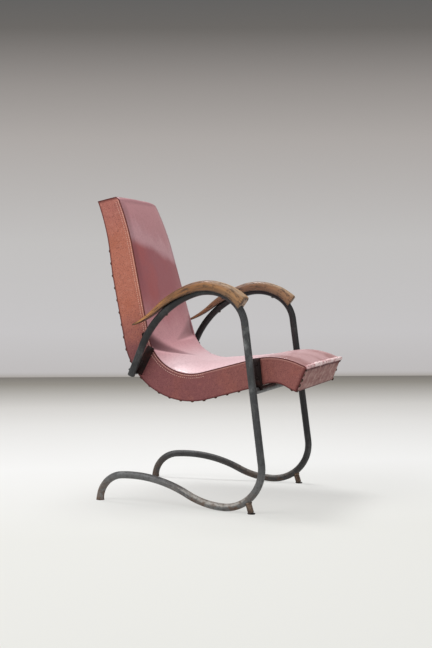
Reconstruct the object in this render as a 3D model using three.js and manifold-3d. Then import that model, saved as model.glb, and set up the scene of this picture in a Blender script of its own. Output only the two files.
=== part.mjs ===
// A cantilever lounge chair: two bent steel side tubes, joined by a cross tube and a flat bar,
// carry an S-shaped upholstered shell, and a wooden armrest lies along the top of each tube.
// Millimetres. X runs across the chair, Y from its front to its back and Z up from the floor.
import * as THREE from "three";
import { mergeVertices } from "three/addons/utils/BufferGeometryUtils.js";
import Module from "manifold-3d";

const wasm = await Module();
wasm.setup();

// Side tubes. Each lies in an upright plane, and the two planes stand wider apart at the front.
const tubeDiameter = 22;
const tubeWall = 2;
const tubeSides = 12;
const splayAngle = 6.15;
const frameClearance = 48.75;
const baseLift = 1.2;
const footBendRadius = 115.5;
const legAngle = 81.55;
const armFrontRadius = 103;
const armFrontAngle = 50.1;
const armCrestRadius = 130;
const armCrestAngle = 49.2;
const armRearRadius = 273;
const armRearAngle = 50.4;
const tubeEndAlongShell = 491;
const tubeEndProud = 8.8;
const baseRiseRadius = 257;
const baseRiseAngle = 26.8;
const baseBackRadius = 401;
const baseBackAngle = 32.2;
const bendSagitta = 0.3;

// What closes and carries the tubes.
const floorPlugFlange = 2.5;
const plugStemLength = 9;
const plugSlack = 1.2;
const endCapDome = 4.5;
const footDiameter = 18;
const footSpreadAngle = 18;
const footPadDiameter = 23;
const footPadThickness = 3;
const footFromDip = 62;

// The front cross tube, the flat rear bar and the straps that hold the shell to them.
const railDiameter = 20;
const railWall = 2;
const frontRailHeight = 352.8;
const rearBarWidth = 22;
const rearBarThickness = 6;
const strapWidth = 24;
const strapThickness = 4;
const strapCorner = 3;
const frontStrapLength = 94;
const frontStrapAngle = 81.5;
const frontStrapOffset = 6;
const rearStrapLength = 88.5;
const rearStrapAngle = 114.4;
const rearStrapOffset = 15.6;
const strapScrewShares = [0.38, 0.8];

// The S-shaped shell, as its side panel's upper edge runs from the front up to the top.
const frontDropAngle = 21;
const frontDropLength = 29;
const frontRollRadius = 219;
const frontRollAngle = 37.1;
const seatFlatLength = 161;
const lapBendRadius = 138.5;
const lapBendAngle = 91.4;
const lowerBackLength = 277;
const upperBackRadius = 835;
const upperBackAngle = 11.7;
const panelDepth = 82.7;
const topPanelDepth = 67.7;
const topTaperLength = 230;
const topSkewAngle = 14.2;
const topSkewLength = 110;
const frontPanelDepth = 79.3;
const frontTaperLength = 110;
const archDepth = 7.2;
const archCentre = 91;
const archReach = 88;
const topCornerRadius = 15;
const seatFrontWidth = 502.6;
const sideLeanAngle = 6.6;
const sideToeAngle = 2.5;
const frontRailSetback = 176.5;
const rearBarReach = 496;

// Layers of the shell.
const coverThickness = 1.8;
const boardThickness = 18;
const boardTopDepth = 5;
const deckDepth = 42;
const deckThickness = 4;
const seatCrown = 2;
const backCrown = 10;
const lapCrown = 33;
const lapCrownCentre = 400;
const lapCrownReach = 240;
const crownPower = 3.5;
const crownFadeShares = [0.35, 0.75];
const crownShares = [-1, -0.94, -0.82, -0.55, 0, 0.55, 0.82, 0.94, 1];
const cornerShares = [0.35, 0.7, 1];
const longestStep = 45;

// Wooden rails between the side boards, each with its distance along the shell and its depth.
const railLength = 34;
const topRailInset = 30;
const frontBoardInset = 20;
const lapToLumbarRail = 67;
const lumbarToBackRail = 137;

// Armrests. They are thicker at the front, where their end is cut more upright than square.
const armWidth = 46;
const armThickness = 29;
const armRise = 30;
const armFrontRise = 37;
const armFrontSkewAngle = 20;
const armTipWidth = 12;
const armTaperPower = 1.7;
const armFrontLead = 47;
const armTailLength = 95;
const armTailRadius = 310;
const armTailAngle = 24;
const armEdge = 4;
const armEdgeShare = 0.33;
const armTailSteps = 5;

// Fasteners.
const screwShank = 4;
const screwHead = 9;
const screwHeadHeight = 2.4;
const domeShares = [[1, 0], [0.85, 0.55], [0.4, 0.9]];
const strapScrewLength = 20;
const armScrewBite = 7;
const armScrewShares = [0.25, 0.72];
const railBoltShank = 7;
const railBoltHead = 17;
const railBoltHeadHeight = 4;
const railBoltLength = 17;
const railBoltDepth = 15;

const fit = 0.3;
const overrun = 5;
const roundSides = 12;
const screwSides = 8;

const steel = { color: 0x45474a, roughness: 0.55, metalness: 0.6 };
const rustySteel = { color: 0x5d4c43, roughness: 0.75, metalness: 0.35 };
const blackSteel = { color: 0x1d1716, roughness: 0.6, metalness: 0.4 };
const screwSteel = { color: 0x3a3430, roughness: 0.5, metalness: 0.8 };
const armWood = { color: 0xa2703f, roughness: 0.5, metalness: 0 };
const frameWood = { color: 0xc29a68, roughness: 0.8, metalness: 0 };
const board = { color: 0xb08a5c, roughness: 0.85, metalness: 0 };
const wadding = { color: 0xd9d0bd, roughness: 1, metalness: 0 };
const faceVinyl = { color: 0x9a5f66, roughness: 0.4, metalness: 0 };
const sideVinyl = { color: 0x8c5048, roughness: 0.6, metalness: 0 };
const backCloth = { color: 0x6f3f3c, roughness: 0.8, metalness: 0 };

const radians = THREE.MathUtils.degToRad;
const tubeRadius = tubeDiameter / 2;
const railRadius = railDiameter / 2;
const boreRadius = tubeRadius - tubeWall;
const chair = new THREE.Group();

// A flat route made of straights and bends. A bend by a positive angle turns left.
class Route {
  constructor(x, y, heading) {
    this.tip = { x, y, heading };
    this.pieces = [];
    this.length = 0;
  }

  add(length, curvature) {
    this.pieces.push({ from: this.length, start: this.tip, length, curvature });
    this.tip = walk(this.tip, length, curvature);
    this.length += length;
    return this;
  }

  straight(length) {
    return this.add(length, 0);
  }

  bend(radius, degrees) {
    const turn = radians(degrees);
    return this.add(radius * Math.abs(turn), Math.sign(turn) / radius);
  }

  at(distance) {
    const piece = this.pieces.findLast((each) => each.from <= distance) ?? this.pieces[0];
    return walk(piece.start, distance - piece.from, piece.curvature);
  }

  // Distances from one place to another, close together in the bends.
  stations(from, to, longest = Infinity) {
    const marks = [from];
    for (const piece of this.pieces) {
      const start = Math.max(from, piece.from);
      const end = Math.min(to, piece.from + piece.length);
      if (end <= start) continue;
      const turn = Math.abs((end - start) * piece.curvature);
      const step = 2 * Math.acos(1 - bendSagitta * Math.abs(piece.curvature));
      const parts = Math.max(turn && Math.ceil(turn / step), Math.ceil((end - start) / longest), 1);
      for (let part = 1; part <= parts; part++) marks.push(start + ((end - start) * part) / parts);
    }
    if (marks.at(-1) < to) marks.push(to);
    return marks;
  }
}

function walk(start, length, curvature) {
  const heading = start.heading + length * curvature;
  if (curvature === 0) {
    const x = start.x + length * Math.cos(heading);
    const y = start.y + length * Math.sin(heading);
    return { x, y, heading };
  }
  const x = start.x + (Math.sin(heading) - Math.sin(start.heading)) / curvature;
  const y = start.y - (Math.cos(heading) - Math.cos(start.heading)) / curvature;
  return { x, y, heading };
}

// A curve through given places of the frame's plane, which three.js sweeps a section along.
class Sweep extends THREE.Curve {
  constructor(places) {
    super();
    this.places = places;
  }

  placeAt(share) {
    return this.places[Math.round(share * (this.places.length - 1))];
  }

  getPointAt(share) {
    const place = this.placeAt(share);
    return new THREE.Vector3(0, place.x, place.y);
  }

  getTangentAt(share) {
    const place = this.placeAt(share);
    return new THREE.Vector3(0, Math.cos(place.heading), Math.sin(place.heading));
  }
}

function swept(places, radius, bore) {
  const section = new THREE.Shape().absarc(0, 0, radius, 0, 2 * Math.PI);
  if (bore) section.holes.push(new THREE.Path().absarc(0, 0, bore, 0, 2 * Math.PI, true));
  const curveSegments = tubeSides / 2;
  const steps = places.length - 1;
  return new THREE.ExtrudeGeometry(section, { steps, curveSegments, extrudePath: new Sweep(places) });
}

function straightTube(length, radius, bore) {
  const section = new THREE.Shape().absarc(0, 0, radius, 0, 2 * Math.PI);
  if (bore) section.holes.push(new THREE.Path().absarc(0, 0, bore, 0, 2 * Math.PI, true));
  const options = { depth: length, curveSegments: tubeSides / 2, bevelEnabled: false };
  return new THREE.ExtrudeGeometry(section, options).translate(0, 0, -length / 2).rotateY(Math.PI / 2);
}

// Joins sections of equal point counts into one closed body, with both ends capped.
function loft(sections, place) {
  const count = sections[0].length;
  const positions = sections.flatMap((section, row) => section.flatMap(([p, q]) => place(row, p, q)));
  const index = [];
  for (let row = 0; row + 1 < sections.length; row++) {
    for (let i = 0; i < count; i++) {
      const here = row * count + i;
      const next = row * count + ((i + 1) % count);
      index.push(here, next, next + count, here, next + count, here + count);
    }
  }
  for (const [row, flip] of [[0, true], [sections.length - 1, false]]) {
    const outline = sections[row].map(([p, q]) => new THREE.Vector2(p, q));
    const turn = Math.sign(THREE.ShapeUtils.area(outline));
    for (const face of THREE.ShapeUtils.triangulateShape(outline, [])) {
      const same = Math.sign(THREE.ShapeUtils.area(face.map((i) => outline[i]))) === turn;
      const [a, b, c] = face.map((i) => row * count + i);
      index.push(a, ...(same === flip ? [c, b] : [b, c]));
    }
  }
  const geometry = new THREE.BufferGeometry();
  geometry.setAttribute("position", new THREE.Float32BufferAttribute(positions, 3));
  geometry.setIndex(index);
  return volume(geometry) < 0 ? turnedInsideOut(geometry) : geometry;
}

function volume(geometry) {
  const points = geometry.attributes.position;
  const [a, b, c] = [new THREE.Vector3(), new THREE.Vector3(), new THREE.Vector3()];
  let total = 0;
  for (let i = 0; i < geometry.index.count; i += 3) {
    a.fromBufferAttribute(points, geometry.index.getX(i));
    b.fromBufferAttribute(points, geometry.index.getX(i + 1));
    c.fromBufferAttribute(points, geometry.index.getX(i + 2));
    total += a.dot(b.cross(c)) / 6;
  }
  return total;
}

function turnedInsideOut(geometry) {
  const index = geometry.index.array;
  for (let i = 0; i < index.length; i += 3) [index[i + 1], index[i + 2]] = [index[i + 2], index[i + 1]];
  return geometry;
}

function mirrored(geometry, side) {
  return side > 0 ? geometry : turnedInsideOut(merged(geometry).scale(-1, 1, 1));
}

function merged(geometry) {
  const plain = geometry.clone();
  plain.deleteAttribute("normal");
  plain.deleteAttribute("uv");
  return mergeVertices(plain);
}

function solid(geometry) {
  const plain = merged(geometry);
  const vertProperties = new Float32Array(plain.attributes.position.array);
  const triVerts = new Uint32Array(plain.index.array);
  return new wasm.Manifold(new wasm.Mesh({ numProp: 3, vertProperties, triVerts }));
}

function cut(geometry, ...tools) {
  let body = solid(geometry);
  for (const tool of tools) body = body.subtract(solid(tool));
  const mesh = body.getMesh();
  const result = new THREE.BufferGeometry();
  result.setAttribute("position", new THREE.Float32BufferAttribute(mesh.vertProperties, 3));
  result.setIndex([...mesh.triVerts]);
  return result;
}

function add(name, geometry, look, parent = chair) {
  const mesh = new THREE.Mesh(geometry, new THREE.MeshStandardMaterial({ ...look, flatShading: true }));
  mesh.name = name;
  parent.add(mesh);
  return mesh;
}

// A turned piece about an axis that starts at a point and runs in a direction. Its profile lists
// distances along the axis and from it.
function turned(profile, sides, origin, direction) {
  const points = profile.map(([along, radius]) => new THREE.Vector2(radius, along));
  const turn = new THREE.Quaternion().setFromUnitVectors(new THREE.Vector3(0, 1, 0), direction);
  return merged(new THREE.LatheGeometry(points, sides)).applyQuaternion(turn).translate(...origin);
}

function rod(radius, from, to, sides, origin, direction) {
  return turned([[from, 0], [from, radius], [to, radius], [to, 0]], sides, origin, direction);
}

// Screw with a domed head that starts at the origin and a shank that runs against the direction.
function screw(headRadius, headHeight, shankRadius, length, origin, direction) {
  const dome = domeShares.map(([high, wide]) => [headHeight * high, headRadius * wide]);
  const rim = [[0, headRadius], [0, shankRadius]];
  const tip = [[shankRadius - length, shankRadius], [-length, 0]];
  return turned([...dome, ...rim, ...tip].reverse(), screwSides, origin, direction);
}

// Side tube, first from the dip of its base back to the floor, then forwards and up to its end.
const backwards = new Route(0, tubeRadius + baseLift, 0);
backwards.bend(baseRiseRadius, baseRiseAngle).bend(baseBackRadius, -baseBackAngle);
const dropStart = backwards.tip;
const dropRadius = (dropStart.y - floorPlugFlange - fit) / Math.cos(dropStart.heading);
backwards.bend(dropRadius, -90 - THREE.MathUtils.radToDeg(dropStart.heading));

const upwards = new Route(0, tubeRadius + baseLift, Math.PI);
upwards.bend(footBendRadius, legAngle - 180);
const legFoot = upwards.tip;
const frontRailOnLeg = walk(legFoot, (frontRailHeight - legFoot.y) / Math.sin(legFoot.heading), 0);
const splay = Math.tan(radians(splayAngle));
const alongPlane = Math.cos(radians(splayAngle));
const frontRail = { y: frontRailOnLeg.x * alongPlane, z: frontRailHeight };

// The shell rests on the front cross tube, and a flat bar lies against its back.
const shellLength = shellRoute(0, 0).length;
const loose = belowShell(shellRoute(0, 0), frontRailSetback);
const seam = shellRoute(frontRail.y - loose.y, frontRail.z - loose.z);
const rearBar = pointOn(seam, rearBarReach, depthAt(rearBarReach) + fit + rearBarThickness / 2);
const tubeEnd = pointOn(seam, tubeEndAlongShell, depthAt(tubeEndAlongShell) + tubeEndProud);

// The shell's sides are planes that lean inwards to the top and the back, and the frame stands
// clear of them.
const lean = Math.tan(radians(sideLeanAngle));
const toe = Math.tan(radians(sideToeAngle));
const tip = seam.at(0);
const shellHalf = ({ y, z }) => seatFrontWidth / 2 - lean * (z - tip.y) - toe * (y - tip.x);
const outwards = (side) => new THREE.Vector3(side, toe, lean).normalize();
const frameHalfAtRail = shellHalf(frontRail) + frameClearance;
const frameHalf = (y) => frameHalfAtRail - splay * (y - frontRail.y);
const frameHalfAtDip = frameHalf(0);

function shellRoute(y, z) {
  const route = new Route(y, z, radians(frontDropAngle));
  route.straight(frontDropLength).bend(frontRollRadius, -frontRollAngle).straight(seatFlatLength);
  route.bend(lapBendRadius, lapBendAngle).straight(lowerBackLength);
  return route.bend(upperBackRadius, -upperBackAngle);
}

// The place at a distance along the shell and a depth under its edge. Towards the top the
// sections lean, so that the top end is nearly level.
function pointOn(route, distance, depth) {
  const near = Math.max(0, (distance - shellLength + topSkewLength) / topSkewLength);
  const { x, y, heading } = route.at(distance + depth * near * Math.tan(radians(topSkewAngle)));
  return { y: x + depth * Math.sin(heading), z: y - depth * Math.cos(heading) };
}

function shellPoint(distance, depth) {
  return pointOn(seam, distance, depth);
}

function belowShell(route, distance) {
  return pointOn(route, distance, depthAt(distance) + fit + railRadius);
}

// A smooth bump of height one about a centre, which fades to nothing at its reach.
function bump(distance, centre, reach) {
  const away = Math.min(1, Math.abs(distance - centre) / reach);
  return (1 - away ** 2) ** 2;
}

// Depth of the side panel, with a shallow arch over the front cross tube.
function depthAt(distance) {
  const atTop = Math.max(0, (distance - shellLength + topTaperLength) / topTaperLength);
  const atFront = Math.max(0, 1 - distance / frontTaperLength);
  const taper = (topPanelDepth - panelDepth) * atTop + (frontPanelDepth - panelDepth) * atFront;
  return panelDepth + taper - archDepth * bump(distance, archCentre, archReach);
}

// The leg and the tube's straight end are as long as it takes to bring the tube to its end.
const bends = new Route(0, 0, legFoot.heading).bend(armFrontRadius, -armFrontAngle);
bends.bend(armCrestRadius, -armCrestAngle).bend(armRearRadius, -armRearAngle);
const endHeading = bends.tip.heading;
const acrossX = tubeEnd.y / alongPlane - legFoot.x - bends.tip.x;
const acrossY = tubeEnd.z - legFoot.y - bends.tip.y;
const between = Math.sin(endHeading - legFoot.heading);
const legLength = (acrossX * Math.sin(endHeading) - acrossY * Math.cos(endHeading)) / between;
const endLength = (acrossY * Math.cos(legFoot.heading) - acrossX * Math.sin(legFoot.heading)) / between;
upwards.straight(legLength);
const armStart = upwards.length;
upwards.bend(armFrontRadius, -armFrontAngle).bend(armCrestRadius, -armCrestAngle);
upwards.bend(armRearRadius, -armRearAngle);
const armEnd = upwards.length;
upwards.straight(endLength);

const turnedBack = ({ x, y, heading }) => ({ x, y, heading: heading + Math.PI });
const lowerPlaces = backwards.stations(0, backwards.length).map((d) => turnedBack(backwards.at(d)));
const upperPlaces = upwards.stations(0, upwards.length).map((d) => upwards.at(d));
const tubePlaces = [...lowerPlaces.reverse(), ...upperPlaces.slice(1)];
const inPlane = ({ x, y }) => new THREE.Vector3(0, x, y);
const alongHeading = (heading) => new THREE.Vector3(0, Math.cos(heading), Math.sin(heading));

function sideGroup(side) {
  const group = new THREE.Group();
  group.position.x = side * frameHalfAtDip;
  group.rotation.z = side * radians(splayAngle);
  group.updateMatrix();
  chair.add(group);
  return group;
}

// Screws run from below the tube up into the armrest.
function armScrews() {
  return armScrewShares.map((share) => {
    const place = upwards.at(armStart + share * (armEnd - armStart));
    const down = alongHeading(place.heading - Math.PI / 2);
    const origin = inPlane(place).addScaledVector(down, tubeRadius + 2 * fit);
    return { origin, down };
  });
}

// Wooden armrest: its top runs over the tube at a steady height and leaves it in a pointed tail.
function armrest() {
  const start = armStart + armFrontLead;
  const leave = armEnd - armRearRadius * radians(armTailAngle);
  const level = armStart + armFrontRadius * radians(legAngle);
  const places = upwards.stations(start, leave, longestStep).map((distance) => {
    const { x, y, heading } = upwards.at(distance);
    const extra = (armFrontRise - armRise) * Math.max(0, (level - distance) / (level - start)) ** 2;
    const rise = armRise + extra;
    return { x: x - rise * Math.sin(heading), y: y + rise * Math.cos(heading), heading, extra };
  });
  const { x, y, heading } = places.at(-1);
  const tail = new Route(x, y, heading).add(armTailLength, 1 / armTailRadius);
  const marks = tail.stations(0, armTailLength, armTailLength / armTailSteps).slice(1);
  for (const mark of marks) places.push(tail.at(mark));
  const runs = [0];
  for (let i = 1; i < places.length; i++) {
    runs.push(runs[i - 1] + Math.hypot(places[i].x - places[i - 1].x, places[i].y - places[i - 1].y));
  }
  const run = runs.at(-1);
  const crest = runs[places.findIndex((place) => place.heading < 0)];
  const sections = runs.map((distance, row) => {
    const share = Math.max(0, (distance - crest) / (run - crest));
    const left = 1 - share ** armTaperPower;
    const thickness = armEdge + (armThickness - armEdge) * left + (places[row].extra ?? 0);
    return slab(armTipWidth + (armWidth - armTipWidth) * left, thickness);
  });
  const skew = Math.tan(radians(armFrontSkewAngle));
  return loft(sections, (row, p, q) => {
    const { x, y, heading, extra } = places[row];
    const back = row ? 0 : (armThickness + extra - q) * skew;
    const across = [x + q * Math.sin(heading), y - q * Math.cos(heading)];
    return [p, across[0] + back * Math.cos(heading), across[1] + back * Math.sin(heading)];
  });
}

// A rectangle with its corners cut, from its top edge down.
function slab(width, thickness) {
  const corner = Math.min(armEdge, thickness * armEdgeShare);
  const half = width / 2;
  const right = [[half, thickness - corner], [half, corner], [half - corner, 0]];
  const left = [[corner - half, 0], [-half, corner], [-half, thickness - corner]];
  return [[half - corner, thickness], ...right, ...left, [corner - half, thickness]];
}

const tubeGeometry = swept(tubePlaces, tubeRadius, boreRadius);
const tubeTool = swept(tubePlaces, tubeRadius + fit);

function makeSide(side, name) {
  const group = sideGroup(side);
  const screws = armScrews();
  const shank = screwShank / 2;
  const holes = screws.map(({ origin, down }) =>
    rod(shank + fit, -tubeDiameter - armScrewBite - overrun, overrun, screwSides, origin, down),
  );
  add(`side_tube_${name}`, cut(tubeGeometry, ...holes), steel, group);
  add(`armrest_${name}`, cut(armrest(), tubeTool, ...holes), armWood, group);
  screws.forEach(({ origin, down }, i) => {
    const length = tubeDiameter + armScrewBite;
    const geometry = screw(screwHead / 2, screwHeadHeight, shank, length, origin, down);
    add(`arm_screw_${["front", "rear"][i]}_${name}`, geometry, screwSteel, group);
  });

  const stem = boreRadius - plugSlack;
  const flange = floorPlugFlange;
  const rim = [[0, 0], [0, tubeRadius], [flange, tubeRadius], [flange, stem]];
  const plug = [...rim, [plugStemLength, stem], [plugStemLength, 0]];
  const floorEnd = new THREE.Vector3(0, tubePlaces[0].x, 0);
  const up = new THREE.Vector3(0, 0, 1);
  add(`floor_plug_${name}`, turned(plug, roundSides, floorEnd, up), rustySteel, group);

  const end = tubePlaces.at(-1);
  const cap = [[-plugStemLength, 0], [-plugStemLength, stem], [fit, stem], [fit, tubeRadius]];
  const dome = domeShares.map(([high, wide]) => [fit + endCapDome * high, tubeRadius * wide]).reverse();
  const capGeometry = turned([...cap, ...dome], roundSides, inPlane(end), alongHeading(end.heading));
  add(`tube_end_cap_${name}`, capGeometry, steel, group);

  // A short leg stands under the front bend and leans outwards to its pad.
  const foot = upwards.at(footFromDip + footDiameter);
  const spread = Math.tan(radians(footSpreadAngle));
  const ring = (y) => Array.from({ length: roundSides }, (_, i) => {
    const turn = (2 * Math.PI * i) / roundSides;
    return [(footDiameter / 2) * Math.cos(turn), y + (footDiameter / 2) * Math.sin(turn)];
  });
  const footRings = [ring(foot.x - foot.y * spread), ring(foot.x)];
  const heights = [footPadThickness + fit, foot.y];
  const stub = loft(footRings, (row, p, q) => [p, q, heights[row]]);
  add(`front_foot_${name}`, cut(stub, tubeTool), rustySteel, group);
  const padAt = new THREE.Vector3(0, foot.x - foot.y * spread, 0);
  const pad = rod(footPadDiameter / 2, 0, footPadThickness, roundSides, padAt, up);
  add(`foot_pad_${name}`, pad, blackSteel, group);
  return tubeTool.clone().applyMatrix4(group.matrix);
}

const sides = [[-1, "left"], [1, "right"]];
const tubeTools = sides.map(([side, name]) => makeSide(side, name));
const crossTube = straightTube(2 * frameHalf(frontRail.y), railRadius, railRadius - railWall);
crossTube.translate(0, frontRail.y, frontRail.z);
add("front_cross_tube", cut(crossTube, ...tubeTools), steel);

// A flat bar across the chair, square to the shell, whose section reaches outwards from the shell.
function crossBar(half, width, inner, outer) {
  const heading = seam.at(rearBarReach).heading;
  const [c, s] = [Math.cos(heading), Math.sin(heading)];
  const corners = [[-width, inner], [width, inner], [width, outer], [-width, outer]];
  const outline = corners.map(([along, away]) => [along / 2, away]);
  return loft([outline, outline], (row, along, away) => {
    return [half * (row ? 1 : -1), rearBar.y + along * c + away * s, rearBar.z + along * s - away * c];
  });
}

const barHalf = rearBarThickness / 2;
const bar = crossBar(frameHalf(rearBar.y), rearBarWidth, -barHalf, barHalf);
add("rear_cross_bar", cut(bar, ...tubeTools), steel);

// How far the panel's upper edge falls away round the top corner.
function cornerDrop(distance, inset = 0) {
  const past = distance - shellLength + topCornerRadius;
  const radius = topCornerRadius - inset;
  return past <= 0 ? inset : topCornerRadius - Math.sqrt(Math.max(radius ** 2 - past ** 2, 0));
}

function shellStations(from, to) {
  const corner = shellLength - topCornerRadius;
  if (to <= corner) return seam.stations(from, to, longestStep);
  const last = Math.acos(Math.min(1, (to - corner) / topCornerRadius));
  const turns = cornerShares.map((share) => Math.PI / 2 - share * (Math.PI / 2 - last));
  const marks = turns.map((turn) => corner + topCornerRadius * Math.cos(turn));
  return [...seam.stations(from, corner, longestStep), ...marks];
}

// A body that follows the shell. Its section lists pairs of inset from the side plane, with the
// side's sign, and depth.
function alongShell(stations, section) {
  return loft(stations.map(section), (row, p, depth) => {
    const { y, z } = shellPoint(stations[row], depth);
    return [p, y, z];
  });
}

const edge = (distance, depth, inset) => shellHalf(shellPoint(distance, depth)) - inset;

function plate(distance, top, bottom, inset) {
  return [
    [-edge(distance, top, inset), top],
    [edge(distance, top, inset), top],
    [edge(distance, bottom, inset), bottom],
    [-edge(distance, bottom, inset), bottom],
  ];
}

function sideStrip(distance, top, bottom, outer, inner) {
  return [
    [edge(distance, top, inner), top],
    [edge(distance, top, outer), top],
    [edge(distance, bottom, outer), bottom],
    [edge(distance, bottom, inner), bottom],
  ];
}

const lumbarRailReach = rearBarReach + lapToLumbarRail;
const backRailReach = lumbarRailReach + lumbarToBackRail;
const innerStart = coverThickness + fit;
const innerEnd = shellLength - coverThickness - fit;
const boardInset = coverThickness + fit;
const railInset = boardInset + boardThickness + fit;
const underDepth = (distance) => depthAt(distance) - coverThickness - fit;
const paddingTop = (distance) => cornerDrop(distance, coverThickness + 2 * fit);
const lapDepth = (distance) =>
  Math.max(cornerDrop(distance, boardTopDepth) - fit, paddingTop(distance) + fit);
const shellRun = shellStations(innerStart, innerEnd);

// Straps stand on the cross tube and the bar beside the shell, each held to it by two screws.
function strapOutline(rail, angle, length, offset) {
  const heading = radians(angle);
  const [c, s] = [Math.cos(heading), Math.sin(heading)];
  const at = (along, aside) => [rail.y + along * c + aside * s, rail.z + along * s - aside * c];
  const half = strapWidth / 2;
  const outline = [
    [0, -half], [0, half], [length - strapCorner, half],
    [length, half - strapCorner], [length, strapCorner - half], [length - strapCorner, -half],
  ];
  const place = (along, aside) => at(along, aside - offset);
  return { outline: outline.map(([along, aside]) => place(along, aside)), place };
}

const onSide = (y, z, out) => [shellHalf({ y, z }) + out, y, z];
const frontStrap = strapOutline(frontRail, frontStrapAngle, frontStrapLength, frontStrapOffset);
const rearStrap = strapOutline(rearBar, rearStrapAngle, rearStrapLength, rearStrapOffset);
const railTool = straightTube(2 * frameHalfAtRail, railRadius + fit);
railTool.translate(0, frontRail.y, frontRail.z);
const barTool = crossBar(frameHalfAtRail, strapWidth + rearBarWidth, -barHalf - fit, strapWidth);
const straps = [
  ["front_strap", railTool, frontStrap, frontStrapLength],
  ["rear_strap", barTool, rearStrap, rearStrapLength],
];
const out = outwards(1);
const strapScrewPlaces = straps.flatMap(([name, , { place }, length]) =>
  strapScrewShares.map((share, i) => {
    const [y, z] = place(length * share, 0);
    const origin = new THREE.Vector3(...onSide(y, z, 0)).addScaledVector(out, strapThickness + 2 * fit);
    return { name: `${name}_screw_${["lower", "upper"][i]}`, origin };
  }),
);
const boltPlace = shellPoint(lumbarRailReach, railBoltDepth);
const boltOrigin = new THREE.Vector3(...onSide(boltPlace.y, boltPlace.z, 0)).addScaledVector(out, fit);
const sideHoles = strapScrewPlaces.map(({ origin }) =>
  rod(screwShank / 2 + fit, -strapScrewLength - fit, overrun, screwSides, origin, out),
);
const boltHole = rod(railBoltShank / 2 + fit, -railBoltLength - fit, overrun, screwSides, boltOrigin, out);

for (const [name, tool, { outline }] of straps) {
  const blank = loft([outline, outline], (row, y, z) => onSide(y, z, fit + row * strapThickness));
  const geometry = cut(blank, tool, ...sideHoles);
  for (const [side, word] of sides) add(`${name}_${word}`, mirrored(geometry, side), blackSteel);
}
for (const { name, origin } of strapScrewPlaces) {
  const geometry = screw(screwHead / 2, screwHeadHeight, screwShank / 2, strapScrewLength, origin, out);
  for (const [side, word] of sides) add(`${name}_${word}`, mirrored(geometry, side), screwSteel);
}
const bolt = screw(railBoltHead / 2, railBoltHeadHeight, railBoltShank / 2, railBoltLength, boltOrigin, out);
for (const [side, word] of sides) add(`rail_bolt_${word}`, mirrored(bolt, side), blackSteel);

// Side boards, sawn to the S shape, and the rails between them.
const boardGeometry = alongShell(shellRun, (d) =>
  sideStrip(d, lapDepth(d) + fit, underDepth(d), boardInset, boardInset + boardThickness),
);
const boardCut = cut(boardGeometry, ...sideHoles, boltHole);
for (const [side, word] of sides) add(`side_board_${word}`, mirrored(boardCut, side), frameWood);

const railTop = deckDepth + deckThickness + fit + bendSagitta;
function woodRail(from, to, top) {
  const bottom = (d) => underDepth(d) - 2 * bendSagitta;
  return alongShell(seam.stations(from, to), (d) => plate(d, top, bottom(d), railInset));
}

const woodRails = [
  ["front_board", innerStart, innerStart + frontBoardInset, railTop],
  ["seat_rail", frontRailSetback - railLength / 2, frontRailSetback + railLength / 2, railTop],
  ["lap_rail", rearBarReach - railLength / 2, rearBarReach + railLength / 2, railTop],
  ["back_rail", backRailReach - railLength / 2, backRailReach + railLength / 2, railTop],
  ["top_rail", innerEnd - topRailInset, innerEnd, railTop],
];
for (const [name, from, to, top] of woodRails) add(name, woodRail(from, to, top), frameWood);
const lumbar = woodRail(lumbarRailReach - railLength / 2, lumbarRailReach + railLength / 2, railTop);
add("lumbar_rail", lumbar, frameWood);

const deckSection = (d) => plate(d, deckDepth, deckDepth + deckThickness, railInset);
add("spring_deck", alongShell(shellRun, deckSection), board);

// The padding fills the space over the deck, laps over the boards and is crowned across. Its
// sections run the same way round as the inner side of the face cover, so that the two fit.
function crownAt(distance, share) {
  const fade = THREE.MathUtils.smoothstep(distance / shellLength, ...crownFadeShares);
  const atLap = lapCrown * bump(distance, lapCrownCentre, lapCrownReach);
  return (THREE.MathUtils.lerp(seatCrown, backCrown, fade) + atLap) * (1 - Math.abs(share) ** crownPower);
}

function crowned(distance, depth, inset) {
  return crownShares.map((share) => {
    const reach = edge(distance, depth, inset);
    return [share * reach, depth - crownAt(distance, share)];
  });
}

const paddingGeometry = alongShell(shellRun, (d) => {
  const step = lapDepth(d);
  const bottom = deckDepth - fit;
  return [
    ...crowned(d, paddingTop(d), boardInset),
    [edge(d, step, boardInset), step],
    [edge(d, step, railInset), step],
    [edge(d, bottom, railInset), bottom],
    [-edge(d, bottom, railInset), bottom],
    [-edge(d, step, railInset), step],
    [-edge(d, step, boardInset), step],
  ].reverse();
});
add("padding", paddingGeometry, wadding);

// Covers: the crowned face, the two side panels, the ends and the nailed back.
const faceGeometry = alongShell(shellRun, (d) => {
  const outer = crowned(d, cornerDrop(d), boardInset);
  const inner = crowned(d, cornerDrop(d, coverThickness), boardInset);
  return [...outer, ...inner.reverse()];
});
add("face_cover", faceGeometry, faceVinyl);

const panelSection = (d) => sideStrip(d, cornerDrop(d), depthAt(d), 0, coverThickness);
const sideGeometry = alongShell(shellRun, panelSection);
const sideCover = cut(sideGeometry, ...sideHoles, boltHole);
for (const [side, word] of sides) add(`side_cover_${word}`, mirrored(sideCover, side), sideVinyl);

const backSection = (d) => plate(d, depthAt(d) - coverThickness, depthAt(d), boardInset);
add("back_cover", alongShell(seam.stations(innerStart, innerEnd, longestStep), backSection), backCloth);
const frontSection = (d) => [...crowned(d, 0, 0), ...plate(d, 0, depthAt(d), 0).slice(2)];
add("front_cover", alongShell([0, coverThickness], frontSection), faceVinyl);
const topSection = (d) => plate(d, cornerDrop(innerEnd) + fit, depthAt(d), 0);
add("top_cover", alongShell([shellLength - coverThickness, shellLength], topSection), faceVinyl);

// The origin is on the floor under the middle of the chair's length.
chair.updateMatrixWorld(true);
const box = new THREE.Box3().setFromObject(chair);
chair.position.y = -(box.min.y + box.max.y) / 2;

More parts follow.
